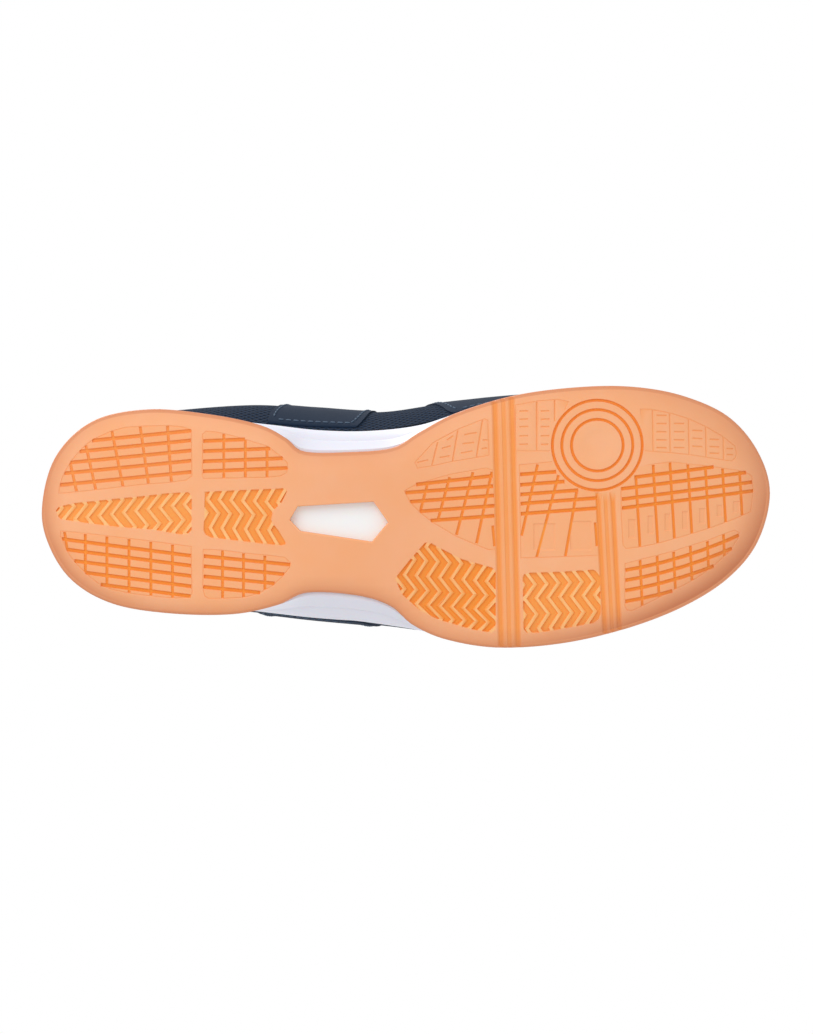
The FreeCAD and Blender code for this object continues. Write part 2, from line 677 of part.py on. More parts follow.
def tucked_tail(place, ahead):
    """Points of a lace end that lies inside the inner side: the turn below its hole, and the start of its tip."""
    return [upper_face_point(place + ahead * step, level, -depth)
            for step, level, depth in ((0.1, 0.775, 2.4), (0.45, 0.68, 4.4))]


def make_lace():
    """Lace as a round cord in all the holes, with its two tips tucked inside."""
    radius = dim("lace_radius")
    places = row_places()
    first, last = tucked_tail(places[0], 1), tucked_tail(places[-1], -1)
    tips = []
    for turn, joint in (first, last):
        along = (joint - turn).normalize()
        tips.append(Part.makeCylinder(dim("aglet_radius"), dim("aglet_length"), joint + along * 0.05, along))
    wire, radii = rounded_wire([first[1], first[0]] + lace_route() + [last[0], last[1]])
    print("lace radii", [round(r, 1) for r in radii])
    start = wire.Edges[0]
    circle = Part.Circle(start.valueAt(start.FirstParameter), start.tangentAt(start.FirstParameter), radius)
    cord = wire.makePipeShell([Part.Wire(circle.toShape())], True, True)
    expected = math.pi * radius**2 * wire.Length
    print("lace length", round(wire.Length), "volume ratio", round(abs(cord.Volume) / expected, 4))
    feature("lace", cord)
    feature("aglets", Part.makeCompound(tips))
    return ["lace", "aglets"]


def check_document(nodes):
    """Stops on any failed object and on any node that is not a valid closed solid."""
    doc.recompute()
    for item in doc.Objects:
        if "Invalid" in item.State or "Error" in item.State:
            raise RuntimeError(f"{item.Name} failed: {item.State}")
    for name in nodes:
        shape = doc.getObject(name).Shape
        if shape.isNull() or not shape.isValid() or not shape.Solids or shape.Volume <= 0:
            raise RuntimeError(f"{name} is not a valid solid")
        print(f"{name}: {len(shape.Solids)} solid(s), {shape.Volume / 1000:.2f} cm3")


def main():
    """Builds the shoe and writes one STEP file per node."""
    rear_region, front_region, flex_region = regions()
    nodes = make_sole(rear_region, front_region)
    nodes += make_upper(rear_region, front_region, flex_region)
    nodes += make_tongue()
    nodes += make_lace()
    check_document(nodes)
    os.makedirs("parts", exist_ok=True)
    for name in nodes:
        item = doc.getObject(name)
        item.Label = name
        item.Shape.exportStep(f"parts/{name}.step")


main()
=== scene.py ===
"""Looks of a left court shoe with a gum rubber sole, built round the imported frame.

Lengths in this file are millimetres unless a name says otherwise; meshes are scaled to metres when they are made.
"""

from __future__ import annotations

import json
import logging
import math
from dataclasses import dataclass, field
from enum import Enum
from typing import Callable, Iterable, Sequence

import bmesh
import bpy
import numpy as np
from mathutils import Matrix, Vector
from mathutils.geometry import delaunay_2d_cdt

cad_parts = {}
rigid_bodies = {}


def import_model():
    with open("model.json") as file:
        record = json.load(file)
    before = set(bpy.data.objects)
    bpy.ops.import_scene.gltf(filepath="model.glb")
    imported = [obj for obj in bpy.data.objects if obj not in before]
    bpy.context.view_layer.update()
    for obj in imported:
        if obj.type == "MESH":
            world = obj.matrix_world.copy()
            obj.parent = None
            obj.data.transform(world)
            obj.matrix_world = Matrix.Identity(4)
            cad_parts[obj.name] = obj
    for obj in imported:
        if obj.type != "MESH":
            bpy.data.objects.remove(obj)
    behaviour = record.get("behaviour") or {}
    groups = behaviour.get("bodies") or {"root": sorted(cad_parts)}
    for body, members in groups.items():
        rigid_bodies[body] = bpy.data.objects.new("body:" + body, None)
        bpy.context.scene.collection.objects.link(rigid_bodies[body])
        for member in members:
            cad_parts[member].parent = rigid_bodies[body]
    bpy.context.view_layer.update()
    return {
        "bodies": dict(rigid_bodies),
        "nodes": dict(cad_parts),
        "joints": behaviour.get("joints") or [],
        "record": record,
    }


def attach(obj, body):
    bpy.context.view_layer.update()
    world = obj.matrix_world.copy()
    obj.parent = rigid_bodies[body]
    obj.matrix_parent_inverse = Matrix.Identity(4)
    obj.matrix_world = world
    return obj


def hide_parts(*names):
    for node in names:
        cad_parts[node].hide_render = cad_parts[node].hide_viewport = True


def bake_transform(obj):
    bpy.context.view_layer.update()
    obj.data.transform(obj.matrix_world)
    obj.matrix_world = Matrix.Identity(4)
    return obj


log = logging.getLogger("court_shoe")

MM = 0.001
Point2 = tuple[float, float]
Rows = list[np.ndarray]

# ---------------------------------------------------------------- shared plan lines of the shoe, as in the part

OUTSOLE_OUTLINE: list[Point2] = [
    (-147, -3.5), (-141.5, -24), (-126.5, -38.5), (-104, -43.3), (-78.8, -41.2), (-59, -37), (-48.5, -31.7),
    (-41.5, -26.4), (-25, -26), (-6, -27.7), (5, -34), (20, -41.8), (44, -49), (70, -52.3), (92, -52.3),
    (112, -48.5), (130, -40.1), (142, -26), (147, -9), (142, 10.5), (130, 25), (112, 36.2), (89, 45),
    (63, 51), (37, 52.8), (16, 49.5), (2.5, 43.6), (-6.5, 36), (-20, 31.7), (-40, 30.6), (-52, 35.6),
    (-70, 39.3), (-95, 39), (-118, 35.2), (-134.5, 26), (-144, 12),
]
MIDSOLE_OUTLINE: list[Point2] = [
    (-144, -3.5), (-138, -24), (-123, -36.5), (-103, -40), (-78, -38.8), (-55, -36.4), (-35, -34.2), (-15, -34.0),
    (5, -36.3), (22, -41.5), (44, -46.3), (70, -49.3), (92, -49.2), (111, -45.2), (128, -37), (139.3, -24.5),
    (143.8, -9), (139.3, 8.3), (128, 21.8), (110.5, 33), (88, 41.8), (63, 47.7), (37, 49.8), (16, 48.2),
    (0, 45.4), (-20, 42.6), (-41, 40.8), (-70, 37.6), (-95, 36.3), (-117, 32.6), (-131.5, 24.5), (-140.8, 12),
]
RIM_HEIGHTS: list[Point2] = [
    (-160, 32), (-120, 30.5), (-80, 28), (-40, 24.8), (0, 21.8), (41, 20), (75, 19.8), (105, 24), (132, 31),
    (160, 38),
]
FOOTBED_HEIGHTS: list[Point2] = [
    (-160, 24), (-120, 22.4), (-80, 20.4), (-40, 17.6), (0, 14.6), (41, 12.8), (75, 12.6), (105, 16.2), (132, 22.6),
    (160, 31),
]
WINDOW: list[Point2] = [(-47, 1.2), (-43.8, -4.2), (-13.2, -6.1), (-7.4, 2.2), (-13.9, 10), (-42.7, 5.7)]
DISC_CENTRE: Point2 = (76.8, -28.9)
# the tread line is flat between these two places on x and curves up in an arc beyond each
HEEL_BEVEL_START, HEEL_BEVEL_RADIUS = -120.0, 130.0
TOE_SPRING_START, TOE_SPRING_RADIUS = 80.0, 172.0


# ---------------------------------------------------------------- small geometry

def catmull(values: np.ndarray, places: np.ndarray) -> np.ndarray:
    """Values of a closed row of samples at fractional places.

    Args:
        values: Evenly spaced samples of a closed loop, one row each.
        places: Places along the loop, counted in samples.

    Returns:
        One interpolated row for each place.
    """
    i = np.floor(places).astype(int)
    t = (places - i)[:, None]
    a, b, c, d = (values[(i + k) % len(values)] for k in (-1, 0, 1, 2))
    return 0.5 * (2 * b + (c - a) * t + (2 * a - 5 * b + 4 * c - d) * t**2 + (3 * b - a - 3 * c + d) * t**3)


def even_loop(points: Sequence[Point2], count: int) -> np.ndarray:
    """Closed smooth curve through plan points, at evenly spaced places.

    Args:
        points: Points that the curve passes.
        count: Number of samples.

    Returns:
        Samples, one row each.
    """
    dense = catmull(np.array(points, float), np.linspace(0, len(points), 4000, endpoint=False))
    closed = np.vstack([dense, dense[:1]])
    along = np.concatenate([[0], np.cumsum(np.linalg.norm(np.diff(closed, axis=0), axis=1))])
    targets = np.linspace(0, along[-1], count, endpoint=False)
    return np.column_stack([np.interp(targets, along, closed[:, k]) for k in (0, 1)])


def height_at(points: Sequence[Point2], x: np.ndarray) -> np.ndarray:
    """Smooth height curve through (x, z) points, read at x.

    Args:
        points: Points that the curve passes.
        x: Places to read.

    Returns:
        Height at each place.
    """
    xs, zs = np.array(points, float).T
    slopes = np.gradient(zs, xs)
    i = np.clip(np.searchsorted(xs, x) - 1, 0, len(xs) - 2)
    h = xs[i + 1] - xs[i]
    t = (x - xs[i]) / h
    return ((2 * t**3 - 3 * t**2 + 1) * zs[i] + (t**3 - 2 * t**2 + t) * h * slopes[i]
            + (3 * t**2 - 2 * t**3) * zs[i + 1] + (t**3 - t**2) * h * slopes[i + 1])


def ground_at(x: np.ndarray) -> np.ndarray:
    """Height of the tread line: a flat with a heel bevel behind it and a toe spring before it.

    Args:
        x: Places along the shoe.

    Returns:
        Height at each place.
    """
    heel, toe = np.minimum(x - HEEL_BEVEL_START, 0), np.maximum(x - TOE_SPRING_START, 0)
    return (HEEL_BEVEL_RADIUS - np.sqrt(HEEL_BEVEL_RADIUS**2 - heel**2)
            + TOE_SPRING_RADIUS - np.sqrt(TOE_SPRING_RADIUS**2 - toe**2))


def ease(t: np.ndarray) -> np.ndarray:
    """Smooth step from 0 to 1."""
    t = np.clip(t, 0, 1)
    return t * t * (3 - 2 * t)


def loop_normals(loop: np.ndarray) -> np.ndarray:
    """Unit plan normals of a closed loop, pointing out of one that goes round anticlockwise seen from above.

    Args:
        loop: Points of the loop, (x, y) rows.

    Returns:
        One normal for each point.
    """
    tangent = np.roll(loop, -1, axis=0) - np.roll(loop, 1, axis=0)
    normal = np.column_stack([tangent[:, 1], -tangent[:, 0]])
    return normal / np.maximum(np.linalg.norm(normal, axis=1, keepdims=True), 1e-9)


def inside(points: np.ndarray, polygon: np.ndarray) -> np.ndarray:
    """Which points lie inside a polygon, by the crossing rule.

    Args:
        points: Plan points, one row each.
        polygon: Corners of the polygon.

    Returns:
        True for each point inside.
    """
    result = np.zeros(len(points), bool)
    for (ax, ay), (bx, by) in zip(polygon, np.roll(polygon, -1, axis=0)):
        if ay == by:
            continue
        crosses = (points[:, 1] < ay) != (points[:, 1] < by)
        result ^= crosses & (points[:, 0] < (bx - ax) * (points[:, 1] - ay) / (by - ay) + ax)
    return result


def distance_to_path(points: np.ndarray, path: np.ndarray, closed: bool) -> np.ndarray:
    """Shortest plan distance from each point to a path.

    Args:
        points: Plan points, one row each.
        path: Points of the path.
        closed: True joins its last point to its first.

    Returns:
        One distance for each point.
    """
    ends = np.roll(path, -1, axis=0) if closed else path[1:]
    best = np.full(len(points), 1e9)
    for a, b in zip(path, ends):
        d = b - a
        t = np.clip(((points - a) @ d) / max(d @ d, 1e-12), 0, 1)
        best = np.minimum(best, np.linalg.norm(points - a - t[:, None] * d, axis=1))
    return best


def clipped(path: np.ndarray, polygon: np.ndarray, keep_inside: bool = True) -> Rows:
    """Stretches of an open path that lie inside (or outside) a polygon.

    Args:
        path: Points of the path.
        polygon: Corners of the polygon.
        keep_inside: False keeps what lies outside.

    Returns:
        The kept stretches, each with at least two points.
    """
    corners, nexts = polygon, np.roll(polygon, -1, axis=0)
    pieces: Rows = []
    run: list[np.ndarray] = []
    for a, b in zip(path[:-1], path[1:]):
        cuts = [0.0, 1.0]
        d = b - a
        for c, e in zip(corners, nexts):
            f = e - c
            det = d[0] * f[1] - d[1] * f[0]
            if abs(det) < 1e-12:
                continue
            t = ((c[0] - a[0]) * f[1] - (c[1] - a[1]) * f[0]) / det
            u = ((c[0] - a[0]) * d[1] - (c[1] - a[1]) * d[0]) / det
            if 0 < t < 1 and 0 <= u <= 1:
                cuts.append(t)
        cuts.sort()
        for t0, t1 in zip(cuts[:-1], cuts[1:]):
            middle = (a + d * (t0 + t1) / 2)[None, :]
            if bool(inside(middle, polygon)[0]) == keep_inside:
                if not run:
                    run = [a + d * t0]
                run.append(a + d * t1)
            elif run:
                pieces.append(np.array(run))
                run = []
    if run:
        pieces.append(np.array(run))
    return [p for p in pieces if np.linalg.norm(np.diff(p, axis=0), axis=1).sum() > 0.3]


def offset_path(path: np.ndarray, distance: float) -> np.ndarray:
    """Open path moved sideways, mitred at its corners.

    Args:
        path: Points of the path.
        distance: Distance to its left.

    Returns:
        Points of the moved path.
    """
    d = np.diff(path, axis=0)
    d /= np.maximum(np.linalg.norm(d, axis=1, keepdims=True), 1e-9)
    n = np.column_stack([-d[:, 1], d[:, 0]])
    corner = np.vstack([n[:1], n[:-1] + n[1:], n[-1:]])
    length = np.linalg.norm(corner, axis=1, keepdims=True)
    unit = corner / np.maximum(length, 1e-9)
    first = np.vstack([n[:1], n])
    stretch = 1 / np.maximum((unit * first).sum(axis=1, keepdims=True), 0.3)
    return path + unit * stretch * distance


def circle(centre: Point2, radius: float, count: int = 72) -> np.ndarray:
    """Evenly spaced points on a circle."""
    a = np.linspace(0, 2 * math.pi, count, endpoint=False)
    return np.column_stack([centre[0] + radius * np.cos(a), centre[1] + radius * np.sin(a)])


# ---------------------------------------------------------------- meshes and materials

def link(obj: bpy.types.Object) -> bpy.types.Object:
    """Object put into the scene."""
    bpy.context.scene.collection.objects.link(obj)
    return obj


def make_mesh(name: str, points: np.ndarray, faces: Sequence[Sequence[int]],
              sharp: float = 35.0) -> bpy.types.Object:
    """Mesh object from points in millimetres, smooth except at edges sharper than an angle.

    Args:
        name: Name of the piece.
        points: Vertices, (x, y, z) rows in millimetres.
        faces: Vertex numbers of each face.
        sharp: Angle in degrees above which an edge stays sharp.

    Returns:
        The new object.
    """
    mesh = bpy.data.meshes.new(name)
    mesh.from_pydata((np.asarray(points) * MM).tolist(), [], [list(map(int, f)) for f in faces])
    mesh.validate()
    for polygon in mesh.polygons:
        polygon.use_smooth = True
    mesh.set_sharp_from_angle(angle=math.radians(sharp))
    return link(bpy.data.objects.new(name, mesh))


def grid_faces(rows: int, columns: int, start: int = 0, wrap: bool = False) -> list[tuple[int, int, int, int]]:
    """Faces of a grid of vertices numbered row by row.

    Args:
        rows: Number of rows.
        columns: Number of vertices in a row.
        start: Number of the first vertex.
        wrap: True joins the last column to the first.

    Returns:
        Quads.
    """
    last = columns if wrap else columns - 1
    return [
        (start + r * columns + c, start + r * columns + (c + 1) % columns,
         start + (r + 1) * columns + (c + 1) % columns, start + (r + 1) * columns + c)
        for r in range(rows - 1) for c in range(last)
    ]


def linear(colour: str) -> tuple[float, float, float, float]:
    """Linear colour of an sRGB hex value such as 'f7b080'.

    Args:
        colour: Six hex digits.

    Returns:
        Red, green, blue and an opaque alpha.
    """
    values = [int(colour[i:i + 2], 16) / 255 for i in (0, 2, 4)]
    red, green, blue = (v / 12.92 if v <= 0.04045 else ((v + 0.055) / 1.055) ** 2.4 for v in values)
    return red, green, blue, 1.0


class Tree:
    """Node tree of one material, with its Principled shader."""

    def __init__(self, name: str) -> None:
        """Start a material with an empty tree.

        Args:
            name: Name of the material.
        """
        self.material = bpy.data.materials.new(name)
        self.material.use_nodes = True
        self.nodes, self.links = self.material.node_tree.nodes, self.material.node_tree.links
        self.shader = self.nodes["Principled BSDF"]

    def add(self, kind: str, inputs: dict | None = None, **settings: object) -> bpy.types.Node:
        """Add a node with its settings; an input is a value or another node's output socket.

        Args:
            kind: Type of the node.
            inputs: Value or output socket for each input, by its name or number.
            settings: The node's own properties.

        Returns:
            The node.
        """
        node = self.nodes.new(kind)
        for key, value in settings.items():
            setattr(node, key, value)
        self.feed(node, inputs or {})
        return node

    def feed(self, node: bpy.types.Node, inputs: dict) -> None:
        """Set or link a node's inputs.

        Args:
            node: Node to feed.
            inputs: Value or output socket for each input.
        """
        for key, value in inputs.items():
            if isinstance(value, bpy.types.NodeSocket):
                self.links.new(value, node.inputs[key])
            else:
                node.inputs[key].default_value = value


class Weave(Enum):
    """Ways in which a cloth or surface is made."""

    MESH = "spacer mesh"
    PLAIN = "plain weave"
    KNIT = "fine knit"
    TWILL = "tubular twill"


@dataclass(frozen=True)
class GumRubber:
    """Natural gum rubber, compression moulded in a blasted mould.

    To the eye it is matt and a little see-through: pale peach with soft mottling on top. Its colours also
    hold painted light: a deeper orange in the recesses is painted shade, the lighter herringbone ribs a
    painted highlight, and the duller brown round the rim painted shade where the edge curves away.
    """

    top: str = "f9b485"
    lug: str = "f9b07c"
    recess: str = "f89530"
    rib: str = "ffc484"
    floor: str = "f8962f"
    rim: str = "cf7f56"
    grain_mm: float = 0.5

    def make(self) -> bpy.types.Material:
        """Material that reads the tread attribute: the painted shade of the recesses, the herringbone share
        and the painted shade round the rim.

        Returns:
            The material.
        """
        t = Tree("gum_rubber_moulded")
        attribute = t.add("ShaderNodeAttribute", attribute_name="tread")
        # red paints shade into the recesses, green marks the herringbone panels, blue paints shade round the rim
        split = t.add("ShaderNodeSeparateColor", {"Color": attribute.outputs["Color"]})
        depth, bone, rim = (split.outputs[k] for k in ("Red", "Green", "Blue"))
        # mottling of the compound, patches about 25 mm across
        where = t.add("ShaderNodeTexCoord").outputs["Object"]
        cloud = t.add("ShaderNodeTexNoise", {"Vector": where, "Scale": 40.0, "Detail": 3.0, "Roughness": 0.55})
        patch = t.add("ShaderNodeMapRange", {"Value": cloud.outputs["Fac"], "From Min": 0.35, "From Max": 0.65})
        plain = t.add("ShaderNodeMix", {0: patch.outputs["Result"], 6: linear(self.top), 7: linear(self.lug)},
                      data_type="RGBA")
        # painted highlight: the herringbone ribs are lighter than the other tread tops
        surface = t.add("ShaderNodeMix", {0: bone, 6: plain.outputs[2], 7: linear(self.rib)}, data_type="RGBA")
        # painted shade: the recesses and the herringbone floors take a deeper orange
        low = t.add("ShaderNodeMix", {0: bone, 6: linear(self.recess), 7: linear(self.floor)}, data_type="RGBA")
        mixed = t.add("ShaderNodeMix", {0: depth, 6: surface.outputs[2], 7: low.outputs[2]}, data_type="RGBA")
        # painted shade: the duller rim colour where the sole's edge curves away
        edged = t.add("ShaderNodeMix", {0: rim, 6: mixed.outputs[2], 7: linear(self.rim)}, data_type="RGBA")
        t.links.new(edged.outputs[2], t.shader.inputs["Base Color"])
        # the mould's blasted skin: grain about half a millimetre
        grain = t.add("ShaderNodeTexNoise", {"Vector": where, "Scale": 1 / (self.grain_mm * MM), "Detail": 2.0})
        bump = t.add("ShaderNodeBump", {"Height": grain.outputs["Fac"], "Strength": 0.12, "Distance": 0.0002})
        t.links.new(bump.outputs["Normal"], t.shader.inputs["Normal"])
        t.feed(t.shader, {"Roughness": 0.52, "IOR": 1.52, "Subsurface Weight": 0.12, "Subsurface Scale": 0.0012,
                          "Specular IOR Level": 0.35})
        t.shader.inputs["Subsurface Radius"].default_value = (1.0, 0.45, 0.2)
        return t.material


@dataclass(frozen=True)
class MouldedFoam:
    """EVA foam, compression moulded: a closed satin skin whose faint pebbling breaks up its highlights."""

    name: str
    colour: str
    roughness: float = 0.5
    pebble_mm: float = 0.9

    def make(self) -> bpy.types.Material:
        """Material of the foam's skin.

        Returns:
            The material.
        """
        t = Tree(self.name)
        where = t.add("ShaderNodeTexCoord").outputs["Object"]
        cloud = t.add("ShaderNodeTexNoise", {"Vector": where, "Scale": 30.0, "Detail": 2.0})
        tint = t.add("ShaderNodeMapRange", {"Value": cloud.outputs["Fac"], "To Min": 0.96, "To Max": 1.0})
        shade = t.add("ShaderNodeVectorMath", {"Scale": tint.outputs["Result"]}, operation="SCALE")
        shade.inputs[0].default_value = linear(self.colour)[:3]
        t.links.new(shade.outputs["Vector"], t.shader.inputs["Base Color"])
        pebble = t.add("ShaderNodeTexVoronoi", {"Vector": where, "Scale": 1 / (self.pebble_mm * MM)})
        bump = t.add("ShaderNodeBump", {"Height": pebble.outputs["Distance"], "Strength": 0.08, "Distance": 0.0002})
        t.links.new(bump.outputs["Normal"], t.shader.inputs["Normal"])
        t.feed(t.shader, {"Roughness": self.roughness, "IOR": 1.48, "Subsurface Weight": 0.08,
                          "Subsurface Scale": 0.001})
        return t.material


@dataclass(frozen=True)
class Cloth:
    """Woven or knitted polyester, its threads laid out on the millimetre UV map.

    To the eye it is dull; its shadow colour paints shade into its holes and between its ribs.
    """

    name: str
    colour: str
    shadow: str
    weave: Weave
    pitch_mm: float
    depth_mm: float = 0.2
    roughness: float = 0.85
    sheen: float = 0.25
    gloss: float = 0.2

    def make(self) -> bpy.types.Material:
        """Material of the cloth: two sets of waves across each other, joined as the weave asks.

        Returns:
            The material.
        """
        t = Tree(self.name)
        # one UV unit is a millimetre
        uv = t.add("ShaderNodeUVMap", uv_map="weave_mm").outputs["UV"]
        turn = math.radians(45 if self.weave in (Weave.MESH, Weave.TWILL) else 0)
        mapped = t.add("ShaderNodeMapping", {"Vector": uv, "Rotation": (0, 0, turn)}, vector_type="TEXTURE")
        split = t.add("ShaderNodeSeparateXYZ", {"Vector": mapped.outputs["Vector"]})
        waves = []
        for axis in ("X", "Y"):
            pitch = self.pitch_mm * (0.5 if self.weave is Weave.KNIT and axis == "Y" else 1.0)
            turned = t.add("ShaderNodeMath", {0: split.outputs[axis], 1: 2 * math.pi / pitch}, operation="MULTIPLY")
            waves.append(t.add("ShaderNodeMath", {0: turned.outputs[0]}, operation="SINE").outputs[0])
        joined = t.add("ShaderNodeMath", {0: waves[0], 1: waves[1]},
                       operation="MULTIPLY" if self.weave in (Weave.PLAIN, Weave.KNIT) else "MAXIMUM")
        height = t.add("ShaderNodeMapRange", {"Value": joined.outputs[0], "From Min": -1.0, "From Max": 1.0})
        fuzz = t.add("ShaderNodeTexNoise", {"Vector": uv, "Scale": 2.2, "Detail": 3.0})
        low = t.add("ShaderNodeMapRange", {"Value": fuzz.outputs["Fac"], "To Min": 0.75, "To Max": 1.15})
        # painted shade: the shadow colour fills the low parts of the weave
        mix = t.add("ShaderNodeMix", {0: height.outputs["Result"], 6: linear(self.shadow), 7: linear(self.colour)},
                    data_type="RGBA")
        shade = t.add("ShaderNodeVectorMath", {0: mix.outputs[2], "Scale": low.outputs["Result"]}, operation="SCALE")
        t.links.new(shade.outputs["Vector"], t.shader.inputs["Base Color"])
        bump = t.add("ShaderNodeBump", {"Height": height.outputs["Result"], "Strength": 0.8,
                                        "Distance": self.depth_mm * MM})
        t.links.new(bump.outputs["Normal"], t.shader.inputs["Normal"])
        t.feed(t.shader, {"Roughness": self.roughness, "IOR": 1.5, "Sheen Weight": self.sheen,
                          "Sheen Roughness": 0.5, "Specular IOR Level": self.gloss})
        return t.material


@dataclass(frozen=True)
class Synthetic:
    """Polyurethane coated microfibre, embossed with a fine leather grain that gives it a soft, even sheen."""

    name: str
    colour: str
    roughness: float = 0.46
    gloss: float = 0.28
    grain_mm: float = 0.7

    def make(self) -> bpy.types.Material:
        """Material of the coated face, its colour varied a little at random in soft patches; the grain is a bump.

        Returns:
            The material.
        """
        t = Tree(self.name)
        where = t.add("ShaderNodeTexCoord").outputs["Object"]
        grain = t.add("ShaderNodeTexVoronoi", {"Vector": where, "Scale": 1 / (self.grain_mm * MM)},
                      feature="SMOOTH_F1")
        rough = t.add("ShaderNodeTexNoise", {"Vector": where, "Scale": 60.0, "Detail": 3.0})
        tint = t.add("ShaderNodeMapRange", {"Value": rough.outputs["Fac"], "To Min": 0.85, "To Max": 1.15})
        shade = t.add("ShaderNodeVectorMath", {"Scale": tint.outputs["Result"]}, operation="SCALE")
        shade.inputs[0].default_value = linear(self.colour)[:3]
        t.links.new(shade.outputs["Vector"], t.shader.inputs["Base Color"])
        bump = t.add("ShaderNodeBump", {"Height": grain.outputs["Distance"], "Strength": 0.25, "Distance": 0.0002})
        t.links.new(bump.outputs["Normal"], t.shader.inputs["Normal"])
        t.feed(t.shader, {"Roughness": self.roughness, "IOR": 1.5, "Specular IOR Level": self.gloss})
        return t.material


@dataclass(frozen=True)
class Plastic:
    """Injection moulded thermoplastic, satin, with a faint flow pattern in its gloss."""

    name: str
    colour: str
    roughness: float = 0.35

    def make(self) -> bpy.types.Material:
        """Material of the moulding.

        Returns:
            The material.
        """
        t = Tree(self.name)
        where = t.add("ShaderNodeTexCoord").outputs["Object"]
        flow = t.add("ShaderNodeTexNoise", {"Vector": where, "Scale": 90.0, "Detail": 2.0})
        rough = t.add("ShaderNodeMapRange", {"Value": flow.outputs["Fac"], "To Min": self.roughness - 0.06,
                                             "To Max": self.roughness + 0.1})
        t.links.new(rough.outputs["Result"], t.shader.inputs["Roughness"])
        t.feed(t.shader, {"Base Color": linear(self.colour), "IOR": 1.49})
        return t.material


# ---------------------------------------------------------------- outsole

@dataclass(frozen=True)
class Sipe:
    """Straight-walled slit in the tread along a path."""

    path: np.ndarray
    width: float
    depth: float
    ramp: float = 0.36

    def lines(self) -> Rows:
        """Edges of the slit's mouth and of its floor.

        Returns:
            Two closed lines.
        """
        made: Rows = []
        d = self.path[-1] - self.path[0]
        along = d / max(np.linalg.norm(d), 1e-9)
        for half, pull in ((self.width / 2, 0.0), (self.width / 2 - self.ramp, self.ramp)):
            short = self.path.copy()
            short[0] = short[0] + along * pull
            short[-1] = short[-1] - along * pull
            left, right = offset_path(short, half), offset_path(short, -half)
            made.append(np.vstack([left, right[::-1], left[:1]]))
        return made

    def depth_at(self, points: np.ndarray) -> np.ndarray:
        """Depth of the slit at plan points.

        Args:
            points: Plan points, one row each.

        Returns:
            One depth for each point.
        """
        a, b = self.path[0], self.path[-1]
        d = (b - a) / max(np.linalg.norm(b - a), 1e-9)
        near = np.abs((points - (a + b) / 2) @ d) < np.linalg.norm(b - a) / 2 + self.width
        result = np.zeros(len(points))
        if near.any():
            p = points[near]
            side = self.width / 2 - distance_to_path(p, self.path, closed=False)
            reach = np.minimum(np.minimum(side, (p - a) @ d), (b - p) @ d)
            result[near] = self.depth * np.clip(reach / self.ramp, 0, 1)
        return result


@dataclass
class Grid:
    """Tread panel of block lugs: lengthwise slits, cross slits, short slits and a fine engraved border."""

    outline: list[Point2]
    rows: list[tuple[float, float, float]]
    crosses: list[tuple[float, float, float, float]]
    bend: float = 0.0
    width: float = 1.65
    depth: float = 0.8
    cross_width: float = 1.3
    cross_depth: float = 0.6
    dashes: list[tuple[float, float, float, float]] = field(default_factory=list)
    dishes: list[tuple[float, float, float, float]] = field(default_factory=list)
    border: float = 0.28
    # share of the recess's painted shade that the panel's slits take
    tone: float = 1.0

    def edge(self) -> np.ndarray:
        """Outline of the panel."""
        return np.array(self.outline, float)

    def sipes(self, disc: np.ndarray) -> list[Sipe]:
        """All slits of the panel, cut off at its outline and at the turning disc.

        Args:
            disc: Corners of the turning disc's outline.

        Returns:
            The slits.
        """
        edge = self.edge()
        low, high = edge.min(0), edge.max(0)
        paths: list[tuple[np.ndarray, float, float]] = []
        for x0, y0, slope in self.rows:
            xs = np.linspace(low[0] - 1, high[0] + 1, 7 if self.bend else 2)
            ys = y0 + slope * (xs - x0) + self.bend * (xs - x0) ** 2
            paths.append((np.column_stack([xs, ys]), self.width, self.depth))
        for ax, ay, bx, by in self.crosses:
            paths.append((np.array([(ax, ay), (bx, by)]), self.cross_width, self.cross_depth))
        made = []
        for path, width, depth in paths:
            for stretch in clipped(path, edge):
                for piece in clipped(stretch, disc, keep_inside=False):
                    if np.linalg.norm(piece[-1] - piece[0]) > 0.9:
                        made.append(Sipe(piece, width, depth))
        for ax, ay, bx, by in self.dashes:
            for piece in clipped(np.array([(ax, ay), (bx, by)]), disc, keep_inside=False):
                made.append(Sipe(piece, 0.7, 0.26, 0.25))
        return made


def cross(x: float, y: float, lean: float, reach: float = 30.0) -> tuple[float, float, float, float]:
    """Long cross slit through a point, leaning by dx/dy."""
    return (x - lean * reach, y - reach, x + lean * reach, y + reach)


def ladder(xs: Iterable[float], ys: Iterable[float], length: float,
           slope: float) -> list[tuple[float, float, float, float]]:
    """Rows of short dashes that start at each x, one under another."""
    return [(x, y, x + length, y + slope * length) for x in xs for y in ys]


